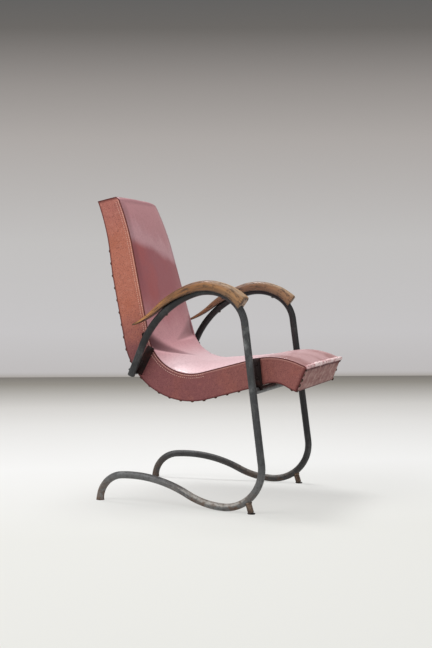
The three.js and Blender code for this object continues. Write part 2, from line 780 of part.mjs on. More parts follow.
export default chair;
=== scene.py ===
# %% [markdown]
# # A cantilever lounge chair
#
# Two bent steel tubes carry a padded shell that runs in one S from the front of the seat to the
# top of the back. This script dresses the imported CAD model: every piece here lies where its CAD
# solid is, with the roundness, seams, nails and finishes that the real chair shows.

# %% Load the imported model
import math
import bpy
import bmesh
import numpy as np
from mathutils import Matrix, Vector, noise


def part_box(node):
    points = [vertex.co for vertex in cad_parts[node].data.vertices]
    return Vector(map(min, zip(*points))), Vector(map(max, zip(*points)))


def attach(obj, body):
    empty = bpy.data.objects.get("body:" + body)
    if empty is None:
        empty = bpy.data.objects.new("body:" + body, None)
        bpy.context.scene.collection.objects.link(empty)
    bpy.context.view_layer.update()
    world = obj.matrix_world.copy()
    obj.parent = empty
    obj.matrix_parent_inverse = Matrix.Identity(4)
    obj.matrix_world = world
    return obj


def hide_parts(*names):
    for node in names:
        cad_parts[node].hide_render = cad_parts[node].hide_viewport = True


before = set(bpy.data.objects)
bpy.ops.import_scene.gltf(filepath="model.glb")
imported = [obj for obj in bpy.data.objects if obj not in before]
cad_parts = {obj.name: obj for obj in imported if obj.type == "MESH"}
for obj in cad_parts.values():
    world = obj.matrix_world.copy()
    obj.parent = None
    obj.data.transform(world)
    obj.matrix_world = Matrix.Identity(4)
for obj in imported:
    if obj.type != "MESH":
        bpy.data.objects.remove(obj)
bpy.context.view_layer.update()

# %% [markdown]
# ## Camera
#
# The photograph was taken from a low tripod, about four metres away. Its place was worked out
# from the four points where the chair touches the floor. It is set from the near front foot, so
# that it keeps its view if the model shifts.

# %% The camera
CAMERA_BACK = 0.9266
CAMERA_ASIDE = 3.7570
CAMERA_HEIGHT = 0.6651
CAMERA_TURN = -1.27734
CAMERA_TILT = 0.03331
CAMERA_ROLL = 0.01899
IMAGE_HEIGHT = 648
IMAGE_WIDTH = 432
FOCAL_PIXELS = 1247.87


def middle(node):
    low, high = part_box(node)
    return (low + high) / 2


camera_data = bpy.data.cameras.new("camera")
camera_data.sensor_fit = "VERTICAL"
camera_data.sensor_height = 36
camera_data.lens = 36 * FOCAL_PIXELS / IMAGE_HEIGHT
camera = bpy.data.objects.new("camera", camera_data)
bpy.context.scene.collection.objects.link(camera)
camera_place = Vector((-CAMERA_ASIDE, middle("foot_pad_left").y - CAMERA_BACK, CAMERA_HEIGHT))
tilt = Matrix.Rotation(math.pi / 2 - CAMERA_TILT, 4, "X") @ Matrix.Rotation(CAMERA_ROLL, 4, "Z")
camera.matrix_world = Matrix.Translation(camera_place) @ Matrix.Rotation(CAMERA_TURN, 4, "Z") @ tilt
bpy.context.scene.camera = camera


def floor_under(pixel_x, pixel_y):
    """The place on the floor that the camera sees at a pixel of the photograph."""
    across = (pixel_x - IMAGE_WIDTH / 2) / FOCAL_PIXELS
    down = (pixel_y - IMAGE_HEIGHT / 2) / FOCAL_PIXELS
    ray = camera.matrix_world.to_3x3() @ Vector((across, -down, -1))
    return camera_place - ray * (camera_place.z / ray.z)


# %% [markdown]
# ## Routes
#
# Both the tube and the shell follow flat lines made of straights and bends, as a bender's
# drawing gives them. The same small class as in the CAD source walks along such a line. All
# lengths are in millimetres, and the mesh maker turns them into Blender's metres.

# %% A line of straights and bends
MM = 0.001


def walk(start, length, curvature):
    x, y, heading = start
    after = heading + length * curvature
    if curvature == 0:
        return x + length * math.cos(after), y + length * math.sin(after), after
    x += (math.sin(after) - math.sin(heading)) / curvature
    y -= (math.cos(after) - math.cos(heading)) / curvature
    return x, y, after


class Route:
    """A flat line of straights and bends. A bend by a positive angle turns left."""

    def __init__(self, x, y, heading):
        self.tip = (x, y, heading)
        self.pieces = []
        self.length = 0.0

    def add(self, length, curvature):
        self.pieces.append((self.length, self.tip, curvature))
        self.tip = walk(self.tip, length, curvature)
        self.length += length
        return self

    def straight(self, length):
        return self.add(length, 0)

    def bend(self, radius, degrees):
        turn = math.radians(degrees)
        return self.add(radius * abs(turn), math.copysign(1 / radius, turn))

    def at(self, distance):
        begun = [piece for piece in self.pieces if piece[0] <= distance]
        start, place, curvature = (begun or self.pieces[:1])[-1]
        return walk(place, distance - start, curvature)


def spread(start, end, step):
    """Even marks from start to end, about a step apart."""
    return np.linspace(start, end, max(2, round(abs(end - start) / step) + 1))


# %% [markdown]
# ## The shell's line
#
# The upper edge of the side panels drops at the front, runs level along the seat, turns up
# through the lap and leans back a little at the top. Everything on the shell is placed by its
# distance along this edge, its depth under it and its inset from the side.

# %% Values and places of the shell
LEG_ANGLE = 81.55
FOOT_BEND_RADIUS = 115.5
TUBE_RADIUS = 11.0
BASE_LIFT = 1.2
SPLAY = math.radians(6.15)
FRONT_RAIL_HEIGHT = 352.8
FRAME_WIDTH_AT_RAIL = 604.6
RAIL_RADIUS = 10.0
FRONT_RAIL_SETBACK = 176.5
REAR_BAR_REACH = 496
PANEL_DEPTH, TOP_DEPTH, FRONT_DEPTH = 82.7, 67.7, 79.3
TOP_TAPER, FRONT_TAPER = 230, 110
TOP_SKEW, TOP_SKEW_LENGTH = math.tan(math.radians(14.2)), 110
ARCH_DEPTH, ARCH_CENTRE, ARCH_REACH = 7.2, 91, 88
SEAT_WIDTH = 502.6
SIDE_LEAN, SIDE_TOE = math.tan(math.radians(6.6)), math.tan(math.radians(2.5))
TOP_CORNER = 15
FIT = 0.3


def shell_route(y, z):
    route = Route(y, z, math.radians(21)).straight(29).bend(219, -37.1).straight(161)
    return route.bend(138.5, 91.4).straight(277).bend(835, -11.7)


SHELL_LENGTH = shell_route(0, 0).length


def bump(distance, centre, reach):
    away = min(1, abs(distance - centre) / reach)
    return (1 - away**2) ** 2


def depth_at(distance):
    at_top = max(0, (distance - SHELL_LENGTH + TOP_TAPER) / TOP_TAPER)
    at_front = max(0, 1 - distance / FRONT_TAPER)
    taper = (TOP_DEPTH - PANEL_DEPTH) * at_top + (FRONT_DEPTH - PANEL_DEPTH) * at_front
    return PANEL_DEPTH + taper - ARCH_DEPTH * bump(distance, ARCH_CENTRE, ARCH_REACH)


def point_on(route, distance, depth):
    near = max(0, (distance - SHELL_LENGTH + TOP_SKEW_LENGTH) / TOP_SKEW_LENGTH)
    y, z, heading = route.at(distance + depth * near * TOP_SKEW)
    return y + depth * math.sin(heading), z - depth * math.cos(heading)


# The front cross tube goes through the legs, and the shell rests on it.
leg_foot = Route(0, TUBE_RADIUS + BASE_LIFT, math.pi).bend(FOOT_BEND_RADIUS, LEG_ANGLE - 180).tip
rail_on_leg = walk(leg_foot, (FRONT_RAIL_HEIGHT - leg_foot[1]) / math.sin(leg_foot[2]), 0)
rail_y = rail_on_leg[0] * math.cos(SPLAY)
frame_half_at_dip = FRAME_WIDTH_AT_RAIL / 2 + math.tan(SPLAY) * rail_y
loose_y, loose_z = point_on(
    shell_route(0, 0), FRONT_RAIL_SETBACK, depth_at(FRONT_RAIL_SETBACK) + FIT + RAIL_RADIUS
)
seam = shell_route(rail_y - loose_y, FRONT_RAIL_HEIGHT - loose_z)


def frame_half(y):
    return frame_half_at_dip - math.tan(SPLAY) * y


def shell_half(y, z):
    tip_y, tip_z, _ = seam.at(0)
    return SEAT_WIDTH / 2 - SIDE_LEAN * (z - tip_z) - SIDE_TOE * (y - tip_y)


def on_shell(distance, depth):
    return point_on(seam, distance, depth)


def edge(distance, depth, inset=0.0):
    return shell_half(*on_shell(distance, depth)) - inset


print("shell length", round(SHELL_LENGTH, 1), "mm")

# %% [markdown]
# ## From drawing to model
#
# The CAD model stands with its middle over the origin, so its drawing is moved along Y. The
# distance is read from a foot pad, whose place in the drawing is known.

# %% Where the drawing lies in the model
FOOT_FROM_DIP = 62
FOOT_DIAMETER = 18
FOOT_SPREAD = math.tan(math.radians(18))
PAD_THICKNESS = 3
foot_route = Route(0, TUBE_RADIUS + BASE_LIFT, math.pi).bend(FOOT_BEND_RADIUS, LEG_ANGLE - 180)
foot_y, foot_z, _ = foot_route.at(FOOT_FROM_DIP + FOOT_DIAMETER)
pad_y = foot_y - foot_z * FOOT_SPREAD
SHIFT_Y = middle("foot_pad_left").y / MM - pad_y * math.cos(SPLAY)
print("drawing moved along Y by", round(SHIFT_Y, 2), "mm")


def on_side(side, across, y, z):
    """A place in the upright plane of a side tube, as the drawing has it."""
    turn = side * SPLAY
    x = side * frame_half_at_dip + across * math.cos(turn) - y * math.sin(turn)
    return x, across * math.sin(turn) + y * math.cos(turn), z


def in_model(points):
    """Drawing places in millimetres as model places in metres."""
    return (np.asarray(points, float) + [0, SHIFT_Y, 0]) * MM


# %% [markdown]
# ## Shader maths
#
# A material is easier to read as a formula than as a drawing of wires. One small class wraps a
# socket, so that adding or multiplying two of them adds the Math node that does it, and one
# method makes any other node.

# %% A socket with operators, and a material that makes nodes
class Value:
    def __init__(self, finish, socket):
        self.finish, self.socket = finish, socket

    def sum(self, operation, *others):
        return self.finish.node("ShaderNodeMath", {"operation": operation}, [self, *others])

    def __add__(self, other):
        return self.sum("ADD", other)

    def __sub__(self, other):
        return self.sum("SUBTRACT", other)

    def __mul__(self, other):
        return self.sum("MULTIPLY", other)

    def __truediv__(self, other):
        return self.sum("DIVIDE", other)

    def __pow__(self, other):
        return self.sum("POWER", other)

    def __rsub__(self, other):
        return self.finish.node("ShaderNodeMath", {"operation": "SUBTRACT"}, [other, self])

    __radd__, __rmul__ = __add__, __mul__


class Finish:
    """A material with its principled shader and the nodes in front of it."""

    def __init__(self, name, **constants):
        self.material = bpy.data.materials.new(name)
        self.material.use_nodes = True
        self.tree = self.material.node_tree
        self.shader = self.tree.nodes["Principled BSDF"]
        self.put(self.shader, constants)
        coordinates = self.tree.nodes.new("ShaderNodeTexCoord")
        self.place = Value(self, coordinates.outputs["Object"])
        self.uv = Value(self, coordinates.outputs["UV"])

    def put(self, node, inputs):
        pairs = inputs.items() if isinstance(inputs, dict) else enumerate(inputs)
        for key, value in pairs:
            socket = node.inputs[key]
            if isinstance(value, Value):
                self.tree.links.new(value.socket, socket)
            elif isinstance(value, str):
                socket.default_value = colour(value)
            else:
                socket.default_value = value

    def node(self, kind, settings, inputs, output=0):
        node = self.tree.nodes.new(kind)
        for key, value in settings.items():
            setattr(node, key, value)
        self.put(node, inputs)
        return Value(self, node.outputs[output])

    def noise(self, scale, detail=3.0, roughness=0.5, at=None, distortion=0.0):
        inputs = {"Vector": at or self.place, "Scale": scale, "Detail": detail}
        inputs |= {"Roughness": roughness, "Distortion": distortion}
        return self.node("ShaderNodeTexNoise", {}, inputs)

    def stretched(self, scales, at=None):
        """Places with each direction scaled on its own, so that a pattern runs long."""
        inputs = {0: at or self.place, 1: scales}
        return self.node("ShaderNodeVectorMath", {"operation": "MULTIPLY"}, inputs)

    def parts(self, vector):
        node = self.tree.nodes.new("ShaderNodeSeparateXYZ")
        self.put(node, {0: vector})
        return [Value(self, socket) for socket in node.outputs]

    def painted(self, name):
        """A value that the mesh carries at its points."""
        return self.node("ShaderNodeAttribute", {"attribute_name": name}, {}, 2)

    def step(self, value, low, high):
        """Zero below low, one above high and smooth between them."""
        inputs = {"Value": value, "From Min": low, "From Max": high}
        return self.node("ShaderNodeMapRange", {"interpolation_type": "SMOOTHSTEP"}, inputs)

    def mix(self, factor, first, second, blend="MIX"):
        settings = {"data_type": "RGBA", "blend_type": blend}
        return self.node("ShaderNodeMix", settings, {0: factor, 6: first, 7: second}, 2)

    def relief(self, height, depth, under=None):
        inputs = {"Height": height, "Distance": depth, "Strength": 1.0}
        if under:
            inputs["Normal"] = under
        return self.node("ShaderNodeBump", {}, inputs)

    def shade(self, **inputs):
        names = {"colour": "Base Color", "rough": "Roughness", "metal": "Metallic"}
        names |= {"normal": "Normal", "coat": "Coat Weight"}
        self.put(self.shader, {names[key]: value for key, value in inputs.items()})
        return self.material


def colour(text):
    """A colour as written on a paint card, such as #8c5048, as Blender's linear values."""
    levels = [int(text[i : i + 2], 16) / 255 for i in (1, 3, 5)]
    return [(((v + 0.055) / 1.055) ** 2.4 if v > 0.04 else v / 12.92) for v in levels] + [1]


# %% [markdown]
# ## Steel finishes
#
# The tubes were painted charcoal long ago. Hands and floors have rubbed them to paler patches,
# fine scratches run along them, and rust has come through where they stand on the floor. Low
# down they are painted paler, and paler still on their upper sides: wear and a painted
# highlight. The upper hoop, under the armrest, and the far tube are painted darker, a painted
# shade.

# %% Worn charcoal paint
finish = Finish("worn_charcoal_paint", Metallic=0.15)
finish.put(finish.shader, {"Specular IOR Level": 0.4})
patches = finish.step(finish.noise(16, 4, 0.6), 0.48, 0.70)
specks = finish.step(finish.noise(260, 2, 0.6), 0.60, 0.70)
along = finish.stretched((800, 14, 1), finish.uv)
scratches = finish.step(finish.noise(1.0, 3, 0.7, along), 0.56, 0.72)
across, back, height = finish.parts(finish.place)
low_down = 1 - finish.step(height, 0.02, 0.11)
at_floor = 1 - finish.step(height, 0.006, 0.085)
cloud = finish.noise(34, 5, 0.65)
rust = at_floor * finish.step(cloud + back * 0.3, 0.41, 0.60) + finish.step(finish.noise(60, 4, 0.6), 0.69, 0.74) * 0.5
_, _, facing_up = finish.parts(finish.node("ShaderNodeNewGeometry", {}, {}, 1))
# Up-facing sides are painted paler, a painted highlight; low down it adds to the worn paint.
lit_side = finish.step(facing_up, -0.2, 0.8)
trodden_and_lit_top = low_down * (0.28 + lit_side * 0.48)
# The upper hoop, which is painted darker as painted shade under the armrest.
hoop = finish.step(height + back * 0.6, 0.45, 0.58)
bare_and_lit_top = finish.step(scratches * 0.45 + trodden_and_lit_top + finish.noise(90, 3, 0.6) * 0.5, 0.58, 0.95)
paint = finish.mix(patches, "#3c3d3f", "#737576")
# Paler towards the floor: wear and a painted highlight.
paint = finish.mix(finish.step(height, 0.03, 0.20) * -0.45 + 0.45, paint, "#8a8a8a")
paint = finish.mix(scratches * 0.5, paint, "#8d8e88")
paint = finish.mix(bare_and_lit_top * 0.85, paint, "#b4b0aa")
blotches = finish.step(finish.noise(105, 3, 0.7), 0.52, 0.62)
paint = finish.mix(blotches * 0.4, paint, "#2a2a2b")
paint = finish.mix(specks * 0.4, paint, "#151516")
# Painted shade: the upper hoop is darkened where the armrest shades it.
paint = finish.mix(hoop * 0.8, paint, "#161617")
# Painted shade: the far tube's paint is darkened, and it gets less rust.
far_tube_shade = finish.step(across, -0.1, 0.1)
paint = finish.mix(far_tube_shade * 0.7, paint, "#161617")
paint = finish.mix(rust * (far_tube_shade * -0.35 + 0.8), paint, finish.mix(finish.noise(130, 3), "#3f2f27", "#80644e"))
rough = 0.36 + cloud * 0.24 + rust * 0.25
grit = finish.relief(finish.noise(420, 3, 0.6) + rust * 0.8 - scratches * 0.4, 0.0003)
worn_paint = finish.shade(colour=paint, rough=rough, normal=grit)

# %% Rusty ends and feet
finish = Finish("rusty_steel", Metallic=0.15)
cloud = finish.noise(70, 5, 0.65)
flakes = finish.step(finish.noise(260, 4, 0.7), 0.5, 0.7)
rust = finish.mix(finish.step(cloud, 0.38, 0.62), "#493a31", "#806c5c")
rust = finish.mix(flakes * 0.5, rust, "#33302f")
pits = finish.relief(finish.noise(350, 4, 0.65), 0.0004)
rusty_steel = finish.shade(colour=rust, rough=0.62 + cloud * 0.3, normal=pits)

# %% Black straps, screws and pads
finish = Finish("black_strap_steel", Metallic=0.2)
smudges = finish.step(finish.noise(25, 4, 0.6), 0.45, 0.7)
finish.put(finish.shader, {"Specular IOR Level": 0.25})
dark = finish.mix(smudges, "#170706", "#341512")
pitting = finish.relief(finish.noise(300), 0.0002)
black_steel = finish.shade(colour=dark, rough=0.68 + smudges * 0.15, normal=pitting)
finish = Finish("screw_steel", Metallic=0.85)
grime = finish.step(finish.noise(500, 3), 0.45, 0.65)
screw_steel = finish.shade(colour=finish.mix(grime, "#6a625b", "#2c2522"), rough=0.38 + grime * 0.3)
finish = Finish("pad_rubber")
dust = finish.step(finish.noise(180, 4), 0.45, 0.7)
pad_rubber = finish.shade(colour=finish.mix(dust, "#211d1b", "#4a4039"), rough=0.75 + dust * 0.15)
print("steel finishes made")

# %% [markdown]
# ## Wood
#
# The armrests are bent from a golden brown hardwood. Grain runs along the arm, so the pattern
# reads the piece's own map, which is laid out in metres around and along it. The varnish is
# darkest in the pores and has gone, pale and dry, from the top of the front end. That top and
# front end are painted lighter still, a painted highlight, and the lower edge along the tube is
# darkened, a painted shade.

# %% Armrest wood
def wood_grain(finish, light, dark, pores):
    along = finish.stretched((60, 3.2, 1), finish.uv)
    figure = finish.noise(1.0, 4, 0.6, along, 0.6)
    fibre = finish.noise(1.0, 3, 0.7, finish.stretched((520, 9, 1), finish.uv))
    lines = finish.step(fibre, 0.54, 0.7)
    grain = finish.mix(finish.step(figure, 0.34, 0.64), light, dark)
    return finish.mix(lines * 0.75, grain, pores), lines


finish = Finish("armrest_wood")
grain, pores = wood_grain(finish, "#c28850", "#6a4429", "#2b1a10")
_, run, _ = finish.parts(finish.uv)
far_side, _, _ = finish.parts(finish.place)
cloud = finish.noise(26, 4, 0.65)
# The front end and the tops are painted lighter: worn varnish and a painted highlight.
worn_and_lit_front_end = 1 - finish.step(run, 0.02, 0.15)
_, _, high = finish.parts(finish.node("ShaderNodeNewGeometry", {}, {}, 1))
grain = finish.mix(finish.step(far_side, -0.1, 0.1) * 0.5, grain, "#7d6557")
bare_and_lit_top = finish.step(cloud + worn_and_lit_front_end * 0.5, 0.62, 0.80) * finish.step(high, 0.25, 0.85)
grain = finish.mix(worn_and_lit_front_end * 0.4, grain, "#c39a70")
grain = finish.mix(bare_and_lit_top * 0.5, grain, "#9c876f")
worn_in = finish.noise(1.0, 4, 0.75, finish.stretched((150, 34, 1), finish.uv))
dirt = finish.step(worn_in, 0.49, 0.63)
grain = finish.mix(dirt * 0.72, grain, "#2a1c14")
# Grime darkens the lower edge as painted shade, and the tail tip and front end.
grain = finish.mix(finish.painted("grime"), grain, "#24180f")
normal = finish.relief(pores * -0.6 + finish.noise(90, 3) * 0.4, 0.0004)
arm_wood = finish.shade(colour=grain, rough=0.36 + bare_and_lit_top * 0.3 + dirt * 0.2, normal=normal)

# %% End grain of the armrests, and the plain woods inside the shell
finish = Finish("armrest_end_grain")
rings = finish.noise(1.0, 3, 0.6, finish.stretched((260, 90, 260)))
centre = finish.step(finish.noise(45, 3), 0.45, 0.62)
end = finish.mix(finish.step(rings, 0.4, 0.62), "#5a3f2e", "#2b1d17")
end = finish.mix(centre * 0.7, end, "#b09a84")
arm_end_grain = finish.shade(colour=end, rough=0.7, normal=finish.relief(rings, 0.0005))


def plain_wood(name, light, dark, stretch):
    finish = Finish(name)
    figure = finish.noise(1.0, 4, 0.6, finish.stretched(stretch), 0.4)
    lines = finish.step(finish.noise(6.0, 3, 0.7, finish.stretched(stretch)), 0.5, 0.7)
    wood = finish.mix(finish.step(figure, 0.35, 0.65), light, dark)
    return finish.shade(colour=wood, rough=0.7 + lines * 0.1, normal=finish.relief(lines, 0.0003))


frame_wood = plain_wood("frame_wood", "#c9a273", "#a57b4c", (12, 90, 90))
deck_board = plain_wood("deck_board", "#b89162", "#8c6840", (60, 60, 60))
print("woods made")

# %% [markdown]
# ## Vinyl and cloth
#
# The face is a soft vinyl with a satin gloss: wine red when new, gone to dusty rose and darker
# where backs have rubbed it. Its top, a band under the top, the lower back and the seat are
# painted lighter as well: a painted sheen. The side panels are a coarser vinyl that has yellowed to
# brick on the back and stayed brown-red along the seat. Their map gives the distance along the
# shell, so the colour can follow it.

# %% Face vinyl
finish = Finish("face_vinyl")
_, run, _ = finish.parts(finish.uv)
across, _, _ = finish.parts(finish.place)
cloud = finish.noise(6.5, 4, 0.55)
fine = finish.noise(170, 3, 0.6)
leather = finish.node("ShaderNodeTexVoronoi", {}, {"Vector": finish.place, "Scale": 620})
wide = finish.noise(3.1, 2, 0.5)
slant = run + across * 0.19 + (cloud - 0.5) * 0.06
# Above a slanting line the back is painted paler, fading and a painted sheen, with a brighter band of painted sheen
# just above the line.
faded_and_sheen_top = finish.step(slant, 0.808, 0.846)
turned = finish.node("ShaderNodeCombineXYZ", {}, [across + run * 0.3, run - across * 0.5])
sheen_streaks = finish.noise(1.0, 3, 0.6, finish.stretched((26, 9, 9), turned))
sheen_band = faded_and_sheen_top * (1 - finish.step(slant + (sheen_streaks - 0.5) * 0.16, 0.845, 0.91))
# The lower back and the seat are painted lighter: faded vinyl and a painted sheen.
lower_back = 1 - finish.step(run + (cloud - 0.5) * 0.1, 0.56, 0.70)
seat = 1 - finish.step(run + (cloud - 0.5) * 0.06, 0.42, 0.52)
front = 1 - finish.step(run, 0.06, 0.20)
rubbed = finish.step(wide + (cloud - 0.5) * 0.5, 0.46, 0.62)
skin = finish.mix(rubbed * 0.6, "#a25b62", "#ae5857")
skin = finish.mix(lower_back, skin, "#c9959b")
skin = finish.mix(seat, skin, "#d1b1b6")
skin = finish.mix(front * 0.75, skin, "#b28787")
skin = finish.mix(front * finish.step(cloud, 0.42, 0.60) * 0.75, skin, "#8e5c5a")
skin = finish.mix(faded_and_sheen_top, skin, "#bd888d")
skin = finish.mix(sheen_band * 0.55, skin, "#d2a6ae")
skin = finish.mix(finish.step(fine, 0.42, 0.72) * 0.22, skin, "#7a464b")
# Grime darkens the seam edges, and paints shade into the folds and along the seams of the back.
grime = finish.painted("grime")
skin = finish.mix(grime, skin, "#4f2129")
rough = 0.40 + cloud * 0.16 + grime * 0.2
creases = finish.relief(leather * 0.35 + fine * 0.65, 0.00022)
face_vinyl = finish.shade(colour=skin, rough=rough, normal=creases, coat=0.1)

# %% Side vinyl
finish = Finish("side_vinyl")
_, run, _ = finish.parts(finish.uv)
cloud = finish.noise(12, 5, 0.6)
grain = finish.noise(310, 3, 0.7)
mottle = finish.noise(95, 4, 0.65)
on_back = finish.step(run + (cloud - 0.5) * 0.14, 0.50, 0.68)
skin = finish.mix(on_back, "#7a4446", "#ad6753")
skin = finish.mix(finish.step(run, 0.16, 0.40) * -0.55 + 0.55, skin, "#93584e")
skin = finish.mix(finish.step(cloud, 0.47, 0.70) * (0.18 + on_back * 0.42), skin, "#a25a42")
near_top = finish.step(run, 0.86, 0.97)
skin = finish.mix(near_top * 0.5, skin, "#9a5a58")
skin = finish.mix(finish.step(mottle, 0.5, 0.68) * (0.12 + on_back * 0.2), skin, "#bd8270")
skin = finish.mix(finish.step(grain, 0.50, 0.62) * 0.55, skin, "#552826")
grime = finish.painted("grime")
skin = finish.mix(grime, skin, "#4c1b1c")
# Negative grime paints the highlight under the seam.
skin = finish.mix(grime * -1, skin, "#d9a99c")
hide = finish.relief(grain * 0.6 + mottle * 0.4, 0.0007)
finish.put(finish.shader, {"Specular IOR Level": 0.35})
side_vinyl = finish.shade(colour=skin, rough=0.5 + grain * 0.2 + grime * 0.3, normal=hide)

# %% Greyed vinyl of the front end, and its pale edging
finish = Finish("front_vinyl")
brushed = finish.noise(1.0, 4, 0.6, finish.stretched((22, 30, 44)), 0.3)
cloud = finish.noise(18, 4, 0.6)
skin = finish.mix(finish.step(brushed, 0.42, 0.66), "#8a605c", "#a6837e")
skin = finish.mix(finish.step(cloud, 0.48, 0.7) * 0.5, skin, "#744a47")
# Grime darkens the band under the edging, a painted shade, and the edges.
skin = finish.mix(finish.painted("grime"), skin, "#4e161b")
finish.put(finish.shader, {"Specular IOR Level": 0.2})
front_vinyl = finish.shade(colour=skin, rough=0.6 + cloud * 0.2, normal=finish.relief(brushed, 0.0004))
finish = Finish("gathered_edging")
cloud = finish.noise(45, 4, 0.6)
skin = finish.mix(finish.step(cloud, 0.34, 0.58), "#bb8286", "#eed6d6")
# Grime paints shade into the hollows and underside.
skin = finish.mix(finish.painted("grime"), skin, "#7a3f45")
gathered = finish.shade(colour=skin, rough=0.45, normal=finish.relief(finish.noise(220, 3), 0.0006))

# %% Back cloth and thread
finish = Finish("back_cloth")
warp = finish.node("ShaderNodeTexWave", {"bands_direction": "X"}, {"Vector": finish.uv, "Scale": 130}, 1)
weft = finish.node("ShaderNodeTexWave", {"bands_direction": "Y"}, {"Vector": finish.uv, "Scale": 130}, 1)
weave = warp * weft
cloud = finish.noise(14, 4, 0.6)
cloth = finish.mix(finish.step(cloud, 0.35, 0.7), "#733c38", "#8d524a")
cloth = finish.mix(weave * 0.5, cloth, "#54292a")
back_cloth = finish.shade(colour=cloth, rough=0.8 + weave * 0.1, normal=finish.relief(weave, 0.0004))
finish = Finish("pale_thread")
twist = finish.noise(700, 2)
pale_thread = finish.shade(colour=finish.mix(twist, "#d9ac9b", "#f0d5c6"), rough=0.7 + twist * 0.1)
finish = Finish("nail_brass", Metallic=0.75)
tarnish = finish.step(finish.noise(160, 4), 0.4, 0.6)
nail_metal = finish.shade(colour=finish.mix(tarnish, "#5c463a", "#2b1d1a"), rough=0.4 + tarnish * 0.25)
finish = Finish("wadding")
fluff = finish.noise(120, 5, 0.7)
wadding = finish.shade(colour=finish.mix(fluff, "#cfc4ae", "#e8e0cf"), rough=0.95 - fluff * 0.05)
print("vinyl, cloth and thread made")

# %% [markdown]
# ## From rows of points to pieces
#
# Most pieces are a skin over rows of points, each row a closed ring: a tube's rings, an arm's
# sections, the shell's sections. One helper joins the rings, closes both ends and lays out the
# map in metres. Another gives the mesh its finish and its place in the model.

# %% Make a closed skin, and make a piece of it
def skin_over(rings, end_material=0, marks=None, grime=None):
    """A closed mesh over rings of equal counts, with a map of metres around and along it.
    Marks are the rings' distances in millimetres, and grime is a value at each point that darkens the colour, for dirt,
    dark seams and painted shade, and lightens it as a painted highlight where it is negative."""
    rings = in_model(rings)
    rows, count, _ = rings.shape
    mesh = bmesh.new()
    layer = mesh.verts.layers.float.new("grime")
    verts = [[mesh.verts.new(point) for point in ring] for ring in rings]
    if grime is not None:
        for line, values in zip(verts, grime):
            for vert, value in zip(line, values):
                vert[layer] = value
    maps = mesh.loops.layers.uv.new("map")
    around = np.linalg.norm(np.roll(rings, -1, axis=1) - rings, axis=2).mean(axis=0)
    around = np.concatenate([[0], np.cumsum(around)])
    along = np.linalg.norm(np.diff(rings.mean(axis=1), axis=0), axis=1)
    along = np.concatenate([[0], np.cumsum(along)]) if marks is None else np.array(marks) * MM
    for row in range(rows - 1):
        for i in range(count):
            j = (i + 1) % count
            face = mesh.faces.new((verts[row][i], verts[row][j], verts[row + 1][j], verts[row + 1][i]))
            corners = ((i, row), (i + 1, row), (i + 1, row + 1), (i, row + 1))
            for loop, (u, v) in zip(face.loops, corners):
                loop[maps].uv = (around[u], along[v])
    for row in (0, -1):
        cap = mesh.faces.new(verts[row])
        cap.material_index = end_material
    return mesh


def finished(mesh, name, materials, nodes=(), sharp=38):
    """Turns a bmesh into a piece that rides on the chair and stands for its CAD nodes."""
    bmesh.ops.recalc_face_normals(mesh, faces=mesh.faces)
    data = bpy.data.meshes.new(name)
    mesh.to_mesh(data)
    mesh.free()
    return placed(data, name, materials, nodes, sharp)


def placed(data, name, materials, nodes=(), sharp=38):
    for material in materials:
        data.materials.append(material)
    data.shade_smooth()
    if sharp:
        data.set_sharp_from_angle(angle=math.radians(sharp))
    piece = bpy.data.objects.new(name, data)
    bpy.context.scene.collection.objects.link(piece)
    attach(piece, "root")
    if nodes:
        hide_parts(*nodes)
    return piece


def smooth_step(value, low, high):
    t = max(0.0, min(1.0, (value - low) / (high - low)))
    return t * t * (3 - 2 * t)


def ripple(x, y, z, scale, seed=0.0):
    """Smooth noise between about -1 and 1, the same at every run."""
    return noise.noise(Vector((x * scale + seed, y * scale + 3.7 * seed, z * scale)))


SIDES = ((-1, "left"), (1, "right"))

# %% [markdown]
# ## Side tubes
#
# Each side is one tube, bent in a jig and not quite perfect. A ring of points is carried along
# the same straights and bends as in CAD, close enough together that no corner shows. The lower
# end turns down to the floor and is a little flared, and the upper end is hidden by its cap.

# %% The tube's line
ARM_BENDS = ((103, -50.1), (130, -49.2), (273, -50.4))
TUBE_END_REACH, TUBE_END_PROUD = 491, 8.8
PLUG_FLANGE = 2.5
TUBE_STEP = 5
TUBE_SIDES = 28

backwards = Route(0, TUBE_RADIUS + BASE_LIFT, 0).bend(257, 26.8).bend(401, -32.2)
_, drop_z, drop_heading = backwards.tip
drop_radius = (drop_z - PLUG_FLANGE - FIT) / math.cos(drop_heading)
backwards.bend(drop_radius, -90 - math.degrees(drop_heading))

upwards = Route(0, TUBE_RADIUS + BASE_LIFT, math.pi).bend(FOOT_BEND_RADIUS, LEG_ANGLE - 180)
hoop = Route(0, 0, leg_foot[2])
for radius, degrees in ARM_BENDS:
    hoop.bend(radius, degrees)
tube_end_y, tube_end_z = on_shell(TUBE_END_REACH, depth_at(TUBE_END_REACH) + TUBE_END_PROUD)
across_y = tube_end_y / math.cos(SPLAY) - leg_foot[0] - hoop.tip[0]
across_z = tube_end_z - leg_foot[1] - hoop.tip[1]
end_heading, leg_heading = hoop.tip[2], leg_foot[2]
between = math.sin(end_heading - leg_heading)
leg_length = (across_y * math.sin(end_heading) - across_z * math.cos(end_heading)) / between
end_length = (across_z * math.cos(leg_heading) - across_y * math.sin(leg_heading)) / between
arm_start = upwards.straight(leg_length).length
for radius, degrees in ARM_BENDS:
    upwards.bend(radius, degrees)
arm_end = upwards.length
upwards.straight(end_length)
print("leg", round(leg_length), "mm, tube end", round(end_length), "mm")


# %% Sweep the tubes
def ring_at(side, place, radius, sides=TUBE_SIDES):
    y, z, heading = place
    ring = []
    for i in range(sides):
        turn = 2 * math.pi * i / sides
        out = radius * math.sin(turn)
        ring.append(on_side(side, radius * math.cos(turn), y - out * math.sin(heading), z + out * math.cos(heading)))
    return ring


